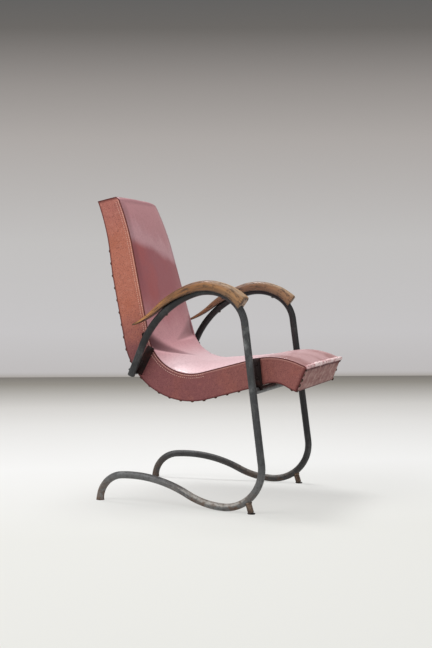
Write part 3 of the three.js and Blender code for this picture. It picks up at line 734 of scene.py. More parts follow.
def tube_places():
    lower = [backwards.at(d) for d in spread(backwards.length, 0, TUBE_STEP)]
    places = [(y, z, heading + math.pi) for y, z, heading in lower]
    return places + [upwards.at(d) for d in spread(0, upwards.length, TUBE_STEP)[1:]]


for side, name in SIDES:
    places = tube_places()
    rings = []
    for i, place in enumerate(places):
        flare = 0.9 * max(0, 1 - i / 2.5)
        dent = 0.12 * ripple(i * TUBE_STEP, side, 0, 0.03, 5)
        rings.append(ring_at(side, place, TUBE_RADIUS + flare + dent))
    finished(skin_over(rings), f"smooth_side_tube_{name}", [worn_paint], [f"side_tube_{name}"])


# %% [markdown]
# ## Turned pieces
#
# Plugs, caps, feet and pads are round. Each is a profile, given as distances along the axis and
# from it, carried round the axis. The two ends of the profile lie on the axis, so the skin is
# closed by its end faces.

# %% Floor plugs, end caps, feet and pads
def turned(profile, side, place, direction, sides=24):
    """Rings of a turned piece about an axis in the plane of a side tube."""
    y, z = place
    rings = []
    for along, radius in profile:
        centre = (y + along * math.cos(direction), z + along * math.sin(direction), direction)
        rings.append(ring_at(side, centre, radius, sides))
    return rings


def arc_profile(along, radius, corner, steps=5, rising=True):
    """A rounded edge that ends or begins a turned profile."""
    turns = [math.pi / 2 * i / steps for i in range(steps + 1)]
    points = [(along - corner + corner * math.sin(t), radius - corner + corner * math.cos(t)) for t in turns]
    return points if rising else [(2 * along - a, r) for a, r in reversed(points)]


for side, name in SIDES:
    foot_end = backwards.at(backwards.length)
    flange = arc_profile(0, TUBE_RADIUS + 1.4, 1.0, rising=False) + [(PLUG_FLANGE, TUBE_RADIUS + 1.2)]
    plug = [(0, 0.5)] + flange + [(PLUG_FLANGE, 8), (9, 7.8), (9, 0.5)]
    rings = turned(plug, side, (foot_end[0], 0), math.pi / 2)
    finished(skin_over(rings), f"floor_plug_{name}_turned", [rusty_steel], [f"floor_plug_{name}"])

    y, z, heading = upwards.tip
    dome = [(FIT + 4.5 * math.sin(t), TUBE_RADIUS * math.cos(t)) for t in np.linspace(0, 1.5, 9)]
    cap = [(-9, 0.5), (-9, 7.8), (-0.4, 7.8), (-0.4, TUBE_RADIUS - 0.2)] + dome
    rings = turned(cap, side, (y, z), heading)
    finished(skin_over(rings), f"tube_end_cap_{name}_domed", [worn_paint], [f"tube_end_cap_{name}"])

    lean = math.atan2(foot_z, foot_z * FOOT_SPREAD)
    foot_length = math.hypot(foot_z, foot_z * FOOT_SPREAD)
    collar = [(foot_length - 13.0, 9.0), (foot_length - 11.5, 10.4), (foot_length - 9.5, 11.2), (foot_length - 7, 10.4)]
    stub = [(PAD_THICKNESS + 0.3, 0.5), (PAD_THICKNESS + 0.3, 8.2), (PAD_THICKNESS + 1.1, 9.0)]
    stub += collar + [(foot_length - 6, 9.0), (foot_length - 2, 8.6), (foot_length - 2, 0.5)]
    rings = turned(stub, side, (pad_y, 0), lean)
    for i in range(4, 7):
        ring = np.array(rings[i])
        centre = ring.mean(axis=0)
        lumps = [1 + 0.06 * ripple(*point, 0.35, i) for point in ring]
        rings[i] = centre + (ring - centre) * np.array(lumps)[:, None]
    finished(skin_over(rings), f"front_foot_{name}_welded", [rusty_steel], [f"front_foot_{name}"])

    pad = [(0, 0.5)] + arc_profile(0, 11.5, 0.8, rising=False) + arc_profile(PAD_THICKNESS, 11.5, 0.8) + [(PAD_THICKNESS, 0.5)]
    rings = turned(pad, side, (pad_y, 0), math.pi / 2)
    finished(skin_over(rings), f"foot_pad_{name}_round", [pad_rubber], [f"foot_pad_{name}"])

# %% [markdown]
# ## Cross pieces and welds
#
# A round tube joins the legs under the seat, and a flat bar joins the rear ends against the
# back. Each end is welded: a bead of melted metal follows the line where two shapes meet, with
# the small ripples that the torch leaves.

# %% The front cross tube with its weld beads
rings = []
reach = frame_half(rail_y) - TUBE_RADIUS + 2.5
for x in spread(-reach, reach, 25):
    turns = np.linspace(0, 2 * math.pi, 33)[:-1]
    rings.append([(x, rail_y + RAIL_RADIUS * math.cos(t), FRONT_RAIL_HEIGHT + RAIL_RADIUS * math.sin(t)) for t in turns])
finished(skin_over(rings), "front_cross_tube_round", [worn_paint], ["front_cross_tube"])


def bead(path, radius, name, closed=True):
    """A rippled bead of weld metal along a closed path of drawing places."""
    path = np.array(path)
    count = len(path)
    rings = []
    for i in range(count + 1):
        here = path[i % count]
        ahead = Vector(path[(i + 1) % count] - path[i - 1]).normalized()
        aside = ahead.orthogonal().normalized()
        if i and aside.dot(last) < 0.99:
            aside = (last - ahead * last.dot(ahead)).normalized()
        last = aside
        third = ahead.cross(aside)
        swell = radius * (1 + 0.22 * math.sin(i * 1.9) + 0.15 * ripple(*here, 0.4))
        ring = []
        for k in range(8):
            turn = math.pi * k / 4
            ring.append(here + swell * np.array(aside * math.cos(turn) + third * math.sin(turn)))
        rings.append(ring)
    return finished(skin_over(rings), name, [worn_paint])


leg_across = Vector((0, -math.sin(leg_heading), math.cos(leg_heading)))
for side, name in SIDES:
    path = []
    for turn in np.linspace(0, 2 * math.pi, 49)[:-1]:
        y, z = RAIL_RADIUS * math.cos(turn), RAIL_RADIUS * math.sin(turn)
        off_axis = y * leg_across.y + z * leg_across.z
        inwards = math.sqrt(max(TUBE_RADIUS**2 - off_axis**2, 0))
        x = frame_half(rail_y + y) - inwards / math.cos(SPLAY)
        path.append((side * x, rail_y + y * 1.06, FRONT_RAIL_HEIGHT + z * 1.06))
    bead(path, 1.9, f"rail_weld_{name}")

# %% [markdown]
# The flat bar and the straps are cut from strip, and their CAD solids are right but for their
# knife-sharp edges. A copy of each is merged, cleaned of the CAD's extra edges and bevelled,
# because a strip always has a small radius that catches the light.

# %% Straps and the rear bar, with softened edges
def softened(node, name, material, width):
    mesh = bmesh.new()
    mesh.from_mesh(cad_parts[node].data)
    bmesh.ops.remove_doubles(mesh, verts=mesh.verts, dist=0.00002)
    bmesh.ops.dissolve_limit(mesh, angle_limit=math.radians(3), verts=mesh.verts, edges=mesh.edges)
    creases = [e for e in mesh.edges if len(e.link_faces) == 2 and e.calc_face_angle(0) > math.radians(50)]
    bmesh.ops.bevel(mesh, geom=creases, offset=width * MM, segments=2, affect="EDGES", clamp_overlap=True)
    bmesh.ops.triangulate(mesh, faces=[f for f in mesh.faces if len(f.verts) > 4])
    return finished(mesh, name, [material], [node], 30)


softened("rear_cross_bar", "rear_cross_bar_rolled", worn_paint, 0.9)
for side, name in SIDES:
    for part in ("front_strap", "rear_strap"):
        softened(f"{part}_{name}", f"{part}_{name}_rolled", black_steel, 0.7)

# %% [markdown]
# ## Armrests
#
# A slice of bent hardwood lies over each tube, grooved below so that it sits astride it, and
# runs out behind in a flat pointed tail. Each section is drawn from its width and thickness:
# round along the top edges, softer below, with the groove as a height under each point.

# %% Sections along an armrest
ARM_WIDTH, ARM_THICKNESS, ARM_RISE, ARM_FRONT_RISE = 46, 29, 30, 37
ARM_TIP, ARM_TAPER, ARM_LEAD = 12, 1.7, 47
ARM_SKEW = math.tan(math.radians(20))
TAIL_LENGTH, TAIL_RADIUS, TAIL_ANGLE, TAIL_EDGE = 95, 310, 24, 4
ARM_STEP = 4


def arm_section(width, thickness, tube_depth, slope):
    """A section from its top right corner clockwise, as places across and down."""
    half = width / 2
    top, low = min(9, thickness * 0.42, half * 0.6), min(4, thickness * 0.3, half * 0.4)
    groove = TUBE_RADIUS + FIT
    right = []
    for turn in np.linspace(0, math.pi / 2, 8):
        right.append((half - top + top * math.sin(turn), top - top * math.cos(turn)))
    for turn in np.linspace(0, math.pi / 2, 6):
        right.append((half - low + low * math.cos(turn), thickness - low + low * math.sin(turn)))
    under = []
    for share in np.sin(np.linspace(-math.pi / 2, math.pi / 2, 17)):
        p = share * min(groove, half - low - 0.1)
        over = math.sqrt(max(groove**2 - p**2, 0)) / slope
        under.append((-p, min(thickness, tube_depth - over)))
    left = [(-p, q) for p, q in reversed(right)]
    across = np.linspace(top - half, half - top, 9)[1:-1]
    crown = [(p, -1.2 * (1 - (p / (half - top)) ** 2)) for p in across]
    return right + under + left + crown


def arm_places():
    """Places along the top of the arm with the extra thickness that its front has."""
    start = arm_start + ARM_LEAD
    leave = arm_end - ARM_BENDS[2][0] * math.radians(TAIL_ANGLE)
    level = arm_start + ARM_BENDS[0][0] * math.radians(LEG_ANGLE)
    places = []
    for distance in spread(start, leave, ARM_STEP):
        y, z, heading = upwards.at(distance)
        extra = (ARM_FRONT_RISE - ARM_RISE) * max(0, (level - distance) / (level - start)) ** 2
        rise = ARM_RISE + extra
        places.append((y - rise * math.sin(heading), z + rise * math.cos(heading), heading, extra, distance))
    y, z, heading = places[-1][:3]
    tail = Route(y, z, heading).add(TAIL_LENGTH, 1 / TAIL_RADIUS)
    places += [(*tail.at(d), 0.0, leave + d) for d in spread(0, TAIL_LENGTH, ARM_STEP)[1:]]
    return places


def depth_to_tube(y, z, heading, near):
    """How far under a place of the arm's top the tube's centre line passes, and how steeply."""
    down = (math.sin(heading), -math.cos(heading))
    nearest = None
    for distance in np.arange(near - 20, min(near + 90, upwards.length), 1.0):
        ty, tz, th = upwards.at(distance)
        along = (ty - y) * math.cos(heading) + (tz - z) * math.sin(heading)
        if nearest is None or abs(along) < nearest[0]:
            depth = (ty - y) * down[0] + (tz - z) * down[1]
            nearest = (abs(along), depth, max(0.3, math.cos(th - heading)))
    return nearest[1], nearest[2]


# %% Loft the armrests
places = arm_places()
runs = [0.0]
for (y0, z0, *_), (y1, z1, *_) in zip(places, places[1:]):
    runs.append(runs[-1] + math.hypot(y1 - y0, z1 - z0))
crest = runs[next(i for i, place in enumerate(places) if place[2] < 0)]
for side, name in SIDES:
    rings, grimes = [], []
    for run, (y, z, heading, extra, distance) in zip(runs, places):
        left = 1 - max(0, (run - crest) / (runs[-1] - crest)) ** ARM_TAPER
        thickness = TAIL_EDGE + (ARM_THICKNESS - TAIL_EDGE) * left + extra
        width = ARM_TIP + (ARM_WIDTH - ARM_TIP) * left
        tube_depth, slope = depth_to_tube(y, z, heading, distance)
        fade = max(0, 1 - run / 40)
        rounding = 2.2 * max(0, 1 - run / 7) ** 2
        ring, grime = [], []
        for p, q in arm_section(width, thickness, tube_depth, slope):
            # The lower edge, where the arm sits on the tube, is darkened as painted shade; the tail tip and front end
            # are darkened too.
            shaded_edge = 0.75 * smooth_step(q / thickness, 0.72, 1.0)
            grime.append(max(shaded_edge, 0.8 * smooth_step(run, runs[-1] - 30, runs[-1]), 0.7 * (1 - smooth_step(run, 1, 5))))
            p *= 1 - rounding / max(width / 2, 1)
            wobble = 0.35 * ripple(p, run, side * 20 + q, 0.045, 2)
            q = q + (rounding + wobble if q < thickness / 2 else 0)
            back = (ARM_THICKNESS + extra - q) * ARM_SKEW * fade
            cy = y + q * math.sin(heading) + back * math.cos(heading)
            cz = z - q * math.cos(heading) + back * math.sin(heading)
            ring.append(on_side(side, p, cy, cz))
        rings.append(ring)
        grimes.append(grime)
    wood = skin_over(rings, end_material=1, grime=grimes)
    finished(wood, f"armrest_{name}_bent", [arm_wood, arm_end_grain], [f"armrest_{name}"], 42)
print("armrest length", round(runs[-1]), "mm")

# %% [markdown]
# ## The padded face
#
# The shell's front is one long pad: vinyl over wadding over a thin board. It is almost flat
# across the front of the seat, swells at the lap, and is pulled down along both edges into the
# seams. Soft wedges of slack radiate from the lap, where the cover has to turn from seat to
# back, and their valleys are painted darker, a painted shade. The pad is a closed body, and its
# wrinkles are moves of its points along the surface's own direction.
# folds in known places, which are easier to put there by hand.

# %% Crown, edges and folds of the face
COVER = 1.8
BOARD = 18
PANEL_INSET = COVER + FIT
RAIL_INSET = PANEL_INSET + BOARD + FIT
DECK_DEPTH = 42
LAP_CROWN, LAP_CENTRE, LAP_REACH = 33, 400, 240
SEAT_CROWN, BACK_CROWN = 2, 10
SHELL_STEP = 4
EDGE_ROLL = 4.2


def corner_drop(distance, inset=0.0):
    past = distance - SHELL_LENGTH + TOP_CORNER
    radius = TOP_CORNER - inset
    return inset if past <= 0 else TOP_CORNER - math.sqrt(max(radius**2 - past**2, 0))


def crown_at(distance, share):
    fade = smooth_step(distance / SHELL_LENGTH, 0.35, 0.75)
    at_lap = LAP_CROWN * bump(distance, LAP_CENTRE, LAP_REACH)
    return (SEAT_CROWN + (BACK_CROWN - SEAT_CROWN) * fade + at_lap) * (1 - abs(share) ** 3.5)


def lap_depth(distance):
    return max(corner_drop(distance, 5) - FIT, corner_drop(distance, COVER + 2 * FIT) + FIT)


# Each fold is a valley that is steep on its lower side. It has its mouth on a seam and its tip
# on the face, as distances and shares across, its width at the mouth, its depth and the painted shade in its valley.
FOLDS = (
    ((550, -1.0), (420, -0.10), 62, 9.0, 1.0),
    ((580, 0.98), (524, -0.25), 72, 8.0, 0.6),
    ((470, 0.99), (410, 0.30), 26, 2.4, 0.10),
    ((438, -0.99), (372, -0.45), 20, 1.6, 0.05),
    ((60, -0.75), (150, -0.10), 40, 1.4, 0.0),
    ((82, 0.75), (150, 0.20), 34, 1.2, 0.0),
)


def folded(distance, share, half):
    """Height and painted shade, kept as grime, of the folds at a place of the face."""
    height, grime = 0.0, 0.0
    for (d0, s0), (d1, s1), mouth, depth, dark in FOLDS:
        run = (s1 - s0) * half
        t = (share - s0) * half / run
        if not 0 <= t < 1:
            continue
        width = mouth * (1 - t) + 5
        off = (distance - d0 - t * (d1 - d0)) / width + 0.5
        fade = (1 - t) ** 0.7
        valley = smooth_step(off, -0.22, 0.12) * (1 - smooth_step(off, 0.12, 1.15))
        height -= depth * fade * valley
        grime = max(grime, dark * fade * smooth_step(off, -0.02, 0.16) * (1 - smooth_step(off, 0.55, 1.1)))
    return height, grime


def face_lift(distance, share, half):
    """Height above the crown from folds, slack and the small unevenness of wadding, and grime: painted shade in the
    folds and along the back's seams, and a darkening at the top end.
    """
    x = share * half
    slack = 0.9 * ripple(x, distance, 0, 0.011, 7) + 0.35 * ripple(x, distance, 0, 0.04, 1)
    pucker = 0.4 * math.sin(distance * 0.42) * smooth_step(abs(share), 0.93, 0.97)
    fold, grime = folded(distance, share, half)
    # Painted shade along the seams of the upper back, and a darkening at the top end.
    shaded_edge = 0.3 * smooth_step(abs(share), 0.80, 0.95) * smooth_step(distance, 640, 800)
    grime = max(grime, shaded_edge, 0.4 * smooth_step(distance, 975, 990))
    quiet = 1 - smooth_step(abs(share), 0.955, 0.995)
    return (fold + slack + pucker) * quiet, grime


# %% Build the face pad
face_shares = np.sin(np.linspace(-math.pi / 2, math.pi / 2, 81))
shell_marks = spread(PANEL_INSET, SHELL_LENGTH - PANEL_INSET, SHELL_STEP)
rings, grimes = [], []
for d in shell_marks:
    drop, step = corner_drop(d), lap_depth(d)
    half = edge(d, drop, 2.05)
    front_roll = 5 - math.sqrt(max(25 - max(0, 5 + PANEL_INSET - d) ** 2, 0))
    outline, grime = [], []
    for share in face_shares:
        x = share * half
        beyond = max(0, abs(x) - half + EDGE_ROLL)
        roll = EDGE_ROLL - math.sqrt(max(EDGE_ROLL**2 - beyond**2, 0))
        lift, dark = face_lift(d, share, half)
        outline.append((x, drop + roll + front_roll - crown_at(d, share) - lift))
        grime.append(max(dark, 0.9 * smooth_step(roll, 0.9, 2.2)))
    low = step + max(0, drop + EDGE_ROLL + front_roll - step)
    bottom = DECK_DEPTH - FIT
    right = [(edge(d, low, 2.2), low + 0.5), (edge(d, low, RAIL_INSET), low + 0.5), (edge(d, bottom, RAIL_INSET), bottom)]
    outline += right + [(-x, depth) for x, depth in reversed(right)]
    rings.append([(x, *on_shell(d, depth)) for x, depth in outline])
    grimes.append(grime + [0.5] * 6)
pad = skin_over(rings, marks=shell_marks, grime=grimes)
finished(pad, "face_pad", [face_vinyl], ["face_cover", "padding"], 60)

# %% [markdown]
# ## Side panels and their stitching
#
# A flat panel of coarse vinyl covers each side board. Its edges are turned in along the seam
# and under the back, and the cover lies on it with a slight quilt of slack.

# %% Build the side panels
PANEL_ROLL = 2.2
ROWS = (5.5, 13)


def panel_outline(d, side):
    """A side panel's section as insets from the side and depths."""
    top, bottom = corner_drop(d) + 0.7, depth_at(d)
    outline = [(COVER, top)]
    for turn in np.linspace(0, math.pi / 2, 6)[1:]:
        outline.append((COVER - COVER * math.sin(turn), top + PANEL_ROLL * (1 - math.cos(turn))))
    for depth in top + PANEL_ROLL + (bottom - top - 2 * PANEL_ROLL) * np.linspace(0, 1, 32)[1:] ** 1.5:
        outline.append((0.0, depth))
    for turn in np.linspace(0, math.pi / 2, 6)[1:]:
        outline.append((COVER * (1 - math.cos(turn)), bottom - PANEL_ROLL * (1 - math.sin(turn))))
    shaped = []
    for inset, depth in outline:
        slack = 0.45 * (1 + ripple(d, depth, side * 30, 0.03, 4)) + 0.12 * ripple(d, depth, 0, 0.12, side)
        seam_dip = 0.5 * math.exp(-(((depth - top - ROWS[0]) / 1.6) ** 2)) + 0.5 * math.exp(-(((depth - top - ROWS[1]) / 1.6) ** 2))
        shaped.append((inset + (slack + seam_dip if inset == 0 else 0), depth))
    return shaped + [(COVER + 0.2, bottom - 0.4), (COVER + 0.2, top + 1.2)]


def panel_grime(d, depth):
    """Dark lines along the seam, the nailed edge and both ends, and a painted highlight as a pale line under the seam.
    """
    top, bottom = corner_drop(d) + 0.7, depth_at(d)
    seam_line = 1 - smooth_step(depth - top, 2.3, 3.6)
    nailed = smooth_step(depth, bottom - 4.5, bottom - 1.5)
    ends = 1 - smooth_step(min(d - PANEL_INSET, SHELL_LENGTH - PANEL_INSET - d), 2.0, 6.0)
    # Painted highlight: a pale line under the seam, given as negative grime.
    rubbed = 0.5 * bump(depth - top, 4.9, 1.5)
    return max(0.9 * seam_line, 0.85 * nailed, 0.85 * ends) - rubbed


for side, name in SIDES:
    rings, grimes = [], []
    for d in shell_marks:
        ring, grime = [], []
        for inset, depth in panel_outline(d, side):
            y, z = on_shell(d, depth)
            ring.append((side * (shell_half(y, z) - inset), y, z))
            grime.append(panel_grime(d, depth))
        rings.append(ring)
        grimes.append(grime)
    panel = skin_over(rings, marks=shell_marks, grime=grimes)
    finished(panel, f"side_panel_{name}", [side_vinyl], [f"side_cover_{name}"], 50)

# %% [markdown]
# ## Back, front and top covers
#
# The back is closed by a woven cloth, turned in and nailed along its edges, so it is drawn in a
# little at each nail. The front end is a plain panel with a gathered edging along its top, and
# the top end is a narrow panel that closes the shell.

# %% Build the back cover
NAIL_SPACING = 36
NAIL_INSET = 5
back_shares = np.sin(np.linspace(-math.pi / 2, math.pi / 2, 41))
rings = []
for d in spread(PANEL_INSET, SHELL_LENGTH - PANEL_INSET, SHELL_STEP):
    bottom = depth_at(d)
    half = edge(d, bottom, COVER + 0.3)
    outer = []
    for share in back_shares:
        beyond = max(0, abs(share) * half - half + 1.6) / 1.6
        between_nails = 0.5 + 0.5 * math.cos(2 * math.pi * d / NAIL_SPACING)
        drawn = 0.5 * between_nails * smooth_step(abs(share), 0.9, 0.97)
        slack = 0.4 + 0.4 * ripple(share * half, d, 9, 0.02, 3)
        outer.append((share * half, bottom - drawn - slack * (1 - abs(share) ** 4) - 1.2 * beyond**2))
    inner = [(half, bottom - COVER - 0.4), (-half, bottom - COVER - 0.4)]
    rings.append([(x, *on_shell(d, depth)) for x, depth in outer + inner])
finished(skin_over(rings), "nailed_back_cover", [back_cloth], ["back_cover"], 50)

# %% Build the front and top covers
def end_cover(name, distances, swell, top_at, material, node):
    """A panel across an end of the shell. Its outline is inset and pushed out row by row, and a ragged band along its
    top edge is darkened: on the front end a painted shade under the edging.
    """
    rings, grimes = [], []
    for d, inset, push in distances:
        outline = []
        for share in np.linspace(-1, 1, 41):
            depth = top_at(share) + inset
            outline.append((share * (edge(d, depth) - inset), depth))
        bottom = depth_at(d) - inset
        for depth in np.linspace(top_at(1) + inset, bottom, 9)[1:]:
            outline.append((edge(d, depth) - inset, depth))
        for share in np.linspace(1, -1, 21)[1:-1]:
            outline.append((share * (edge(d, bottom) - inset), bottom))
        for depth in np.linspace(bottom, top_at(-1) + inset, 9)[:-1]:
            outline.append((-(edge(d, depth) - inset), depth))
        ring, grime = [], []
        for index, (x, depth) in enumerate(outline):
            crinkle = swell * push * ripple(x, depth, 5, 0.03, 6)
            ring.append((x, *on_shell(d - push + crinkle, depth)))
            # A ragged band along the top edge is darkened, on the front end a painted shade under the edging, and thin
            # lines along the other edges.
            ragged = 12 + 6 * ripple(x, 0, 0, 0.09, 4) if index <= 40 else 4
            grime.append(0.9 * (1 - smooth_step(inset, ragged - 2, ragged + 1)))
        rings.append(ring)
        grimes.append(grime)
    finished(skin_over(rings, grime=grimes), name, [material], [node], 50)


front_rows = [(COVER, 0.0, 0), (0.9, 0.0, 0), (0.2, 0.6, 0), (0, 2.0, 0.2), (0, 6, 0.8), (0, 9, 1.2), (0, 13, 1.6), (0, 24, 2.2)]
front_top = lambda share: 4.2 - crown_at(0, share)
end_cover("front_end_cover", front_rows, 0.5, front_top, front_vinyl, "front_cover")
L = SHELL_LENGTH
top_rows = [(L - COVER, 0.0, 0), (L - 0.9, 0.0, 0), (L - 0.2, 0.7, 0), (L, 2.5, -0.2), (L, 8, -0.9), (L, 15, -1.4)]
top_edge = corner_drop(L - PANEL_INSET)
top_top = lambda share: top_edge + FIT - 6.0 * (1 - abs(share) ** 3.5)
end_cover("top_end_cover", top_rows, 0.5, top_top, side_vinyl, "top_cover")


# %% The gathered edging along the front seam
def gathered_edging():
    rings, grimes = [], []
    for share in np.linspace(-1.0, 1.0, 300):
        x = share * edge(1, 4, 1)
        crumple = ripple(x, 0, 0, 0.07, 11) + 0.5 * math.sin(x * 0.3 + 5 * ripple(x, 1, 0, 0.035, 3))
        radius = 5.8 + 1.8 * crumple * (0.7 + 0.3 * ripple(x, 2, 0, 0.03, 8))
        # Painted shade in the crumples' hollows and on the edging's underside.
        shaded_hollow = 0.7 * (1 - smooth_step(crumple, -1.1, -0.2))
        grimes.append([max(shaded_hollow, 0.85 * smooth_step(-math.sin(2 * math.pi * k / 12), 0.3, 0.8)) for k in range(12)])
        depth = 2.2 - crown_at(1, share) + 0.8 * ripple(x, 3, 0, 0.08, 5)
        y, z = on_shell(0.4 + 0.7 * ripple(x, 6, 0, 0.1, 9), depth)
        ring = []
        for k in range(12):
            turn = 2 * math.pi * k / 12
            lump = radius * (1 + 0.12 * ripple(x, 4 * math.cos(turn), 4 * math.sin(turn), 0.3, 2))
            ring.append((x, y + lump * math.cos(turn), z + lump * math.sin(turn)))
        rings.append(ring)
    return skin_over(rings, grime=grimes)


finished(gathered_edging(), "gathered_front_edging", [gathered], sharp=70)

# %% [markdown]
# ## Nails, stitches and screws with Geometry Nodes
#
# Domed nails, stitches and screws are one small shape repeated along a line. A node tree does
# it: the line's points carry the direction in which the shape stands, the line is divided at
# the spacing, the shape is set on each place and turned to it, and the result is made real and
# given its material.

# %% The node tree that sets a shape along a line
def along_line_tree():
    tree = bpy.data.node_groups.new("set_along_line", "GeometryNodeTree")
    face = tree.interface
    face.new_socket("Line", in_out="INPUT", socket_type="NodeSocketGeometry")
    face.new_socket("Shape", in_out="INPUT", socket_type="NodeSocketObject")
    face.new_socket("Spacing", in_out="INPUT", socket_type="NodeSocketFloat")
    face.new_socket("Size Spread", in_out="INPUT", socket_type="NodeSocketFloat")
    face.new_socket("Spin", in_out="INPUT", socket_type="NodeSocketFloat")
    face.new_socket("Material", in_out="INPUT", socket_type="NodeSocketMaterial")
    face.new_socket("Shapes", in_out="OUTPUT", socket_type="NodeSocketGeometry")

    def node(kind, inputs=(), **settings):
        made = tree.nodes.new(kind)
        for key, value in settings.items():
            setattr(made, key, value)
        for key, value in dict(inputs).items():
            if isinstance(value, bpy.types.NodeSocket):
                tree.links.new(value, made.inputs[key])
            else:
                made.inputs[key].default_value = value
        return made

    given = node("NodeGroupInput").outputs
    line = node("GeometryNodeMeshToCurve", {"Mesh": given["Line"]}).outputs[0]
    places = node("GeometryNodeResampleCurve", {"Curve": line, "Length": given["Spacing"]}, mode="LENGTH")
    stands = node("GeometryNodeInputNamedAttribute", {"Name": "stands"}, data_type="FLOAT_VECTOR").outputs[0]
    runs = node("GeometryNodeInputTangent").outputs[0]
    turn = node("FunctionNodeAxesToRotation", {0: stands, 1: runs}, primary_axis="Z", secondary_axis="X").outputs[0]
    spin = node("FunctionNodeRandomValue", {2: 0.0, 3: given["Spin"], "Seed": 4}, data_type="FLOAT").outputs[1]
    about = node("FunctionNodeAxisAngleToRotation", {"Axis": (0, 0, 1), "Angle": spin}).outputs[0]
    turn = node("FunctionNodeRotateRotation", {0: turn, 1: about}, rotation_space="LOCAL").outputs[0]
    small = node("ShaderNodeMath", {0: 1.0, 1: given["Size Spread"]}, operation="SUBTRACT").outputs[0]
    large = node("ShaderNodeMath", {0: 1.0, 1: given["Size Spread"]}, operation="ADD").outputs[0]
    size = node("FunctionNodeRandomValue", {2: small, 3: large, "Seed": 9}, data_type="FLOAT").outputs[1]
    shape = node("GeometryNodeObjectInfo", {0: given["Shape"]}).outputs["Geometry"]
    inputs = {"Points": places.outputs[0], "Instance": shape, "Rotation": turn, "Scale": size}
    copies = node("GeometryNodeInstanceOnPoints", inputs).outputs[0]
    real = node("GeometryNodeRealizeInstances", {0: copies}).outputs[0]
    dressed = node("GeometryNodeSetMaterial", {0: real, "Material": given["Material"]}).outputs[0]
    node("NodeGroupOutput", {0: dressed})
    return tree


line_tree = along_line_tree()


# %% Lines that carry directions, and the shapes set along them
def along_line(name, lines, shape, spacing, material, nodes=(), size_spread=0.0, spin=0.0, sharp=40):
    """Sets a shape along lines of (place, direction) pairs in metres and makes a plain mesh."""
    points = [place for line in lines for place, _ in line]
    edges, start = [], 0
    for line in lines:
        edges += [(start + i, start + i + 1) for i in range(len(line) - 1)]
        start += len(line)
    data = bpy.data.meshes.new(name + "_line")
    data.from_pydata([tuple(p) for p in points], edges, [])
    stands = data.attributes.new("stands", "FLOAT_VECTOR", "POINT")
    stands.data.foreach_set("vector", np.array([d for line in lines for _, d in line], float).ravel())
    carrier = bpy.data.objects.new(name + "_line", data)
    bpy.context.scene.collection.objects.link(carrier)
    setter = carrier.modifiers.new("set", "NODES")
    setter.node_group = line_tree
    values = {"Shape": shape, "Spacing": spacing, "Size Spread": size_spread, "Spin": spin, "Material": material}
    for item in line_tree.interface.items_tree:
        if item.in_out == "INPUT" and item.name in values:
            setter[item.identifier] = values[item.name]
    evaluated = carrier.evaluated_get(bpy.context.evaluated_depsgraph_get())
    made = bpy.data.meshes.new_from_object(evaluated)
    made.materials.clear()
    bpy.data.objects.remove(carrier)
    print(name, len(made.polygons), "faces")
    return placed(made, name, [material], nodes, sharp)


def shape_of(name, rings):
    """A small shape about the origin, in metres, that the tree copies. It isn't a piece."""
    rings = np.array(rings, float)
    mesh = skin_over(rings / 1.0 - [0, SHIFT_Y, 0])
    bmesh.ops.recalc_face_normals(mesh, faces=mesh.faces)
    data = bpy.data.meshes.new(name)
    mesh.to_mesh(data)
    mesh.free()
    data.shade_smooth()
    shape = bpy.data.objects.new(name, data)
    bpy.context.scene.collection.objects.link(shape)
    return shape


def round_rings(profile, sides):
    """Rings of a shape that stands along Z."""
    turns = [2 * math.pi * i / sides for i in range(sides)]
    return [[(r * math.cos(t), r * math.sin(t), z) for t in turns] for z, r in profile]


# The photo shows close nails down the near edge of the front end, and three down the far one.
FRONT_NAIL_GAPS = (0.0155, 0.029)
nail_profile = [(-1.0, 0.2), (-1.0, 4.2), (0.1, 5.0), (1.0, 4.9), (2.2, 4.1), (3.1, 2.6), (3.5, 1.1), (3.6, 0.1)]
nail = shape_of("nail_shape", round_rings(nail_profile, 12))
thread_turns = np.linspace(-1, 1, 7)
stitch_rings = []
for t in thread_turns:
    girth = 0.55 * math.sqrt(max(1 - 0.8 * t**2, 0.05))
    centre = (2.1 * t, 0, 0.35 * (1 - t**2))
    turns = [math.pi * k / 3 for k in range(6)]
    stitch_rings.append([(centre[0], girth * math.cos(a), centre[2] + girth * math.sin(a)) for a in turns])
stitch = shape_of("stitch_shape", stitch_rings)


def surface_line(distances, place_of, lift=0.0):
    """Places and outward directions along the shell. place_of gives x, depth and direction."""
    line = []
    for d in distances:
        (x, depth), direction = place_of(d)
        y, z = on_shell(d, depth)
        place = in_model((x, y, z)) + np.array(direction) * lift * MM
        line.append((place, direction))
    return line


def back_direction(d):
    near = seam.at(min(d, SHELL_LENGTH))[2]
    return 0.0, math.sin(near), -math.cos(near)


# %% Nails along the back cover's edges and down the front end
nail_lines = []
for side, _ in SIDES:
    for start, end in ((16, 158), (196, 478), (516, 840)):
        def nail_place(d):
            depth = depth_at(d) - 0.3
            return (side * edge(d, depth, NAIL_INSET), depth), back_direction(d)
        nail_lines.append(surface_line(spread(start, end, 8), nail_place))
for start, side in ((8, -1), (SHELL_LENGTH - 8, 1)):
    def cross_place(share):
        depth = depth_at(start) - 0.3
        return (share * edge(start, depth, 30), depth), back_direction(start)
    line = []
    for share in np.linspace(-1, 1, 30):
        (x, depth), direction = cross_place(share)
        line.append((in_model((x, *on_shell(start, depth))), direction))
    nail_lines.append(line)
front_heading = seam.at(0)[2]
front_direction = (0.0, -math.cos(front_heading), -math.sin(front_heading))
for (side, name), gap in zip(SIDES, FRONT_NAIL_GAPS):
    line = []
    for depth in np.linspace(10, depth_at(0) - 4, 12):
        y, z = on_shell(-0.4, depth)
        line.append((in_model((side * (shell_half(y, z) - 5.0), y, z)), front_direction))
    nails = f"front_nails_{name}"
    along_line(nails, [line], nail, gap, nail_metal, size_spread=0.12, spin=6.28)
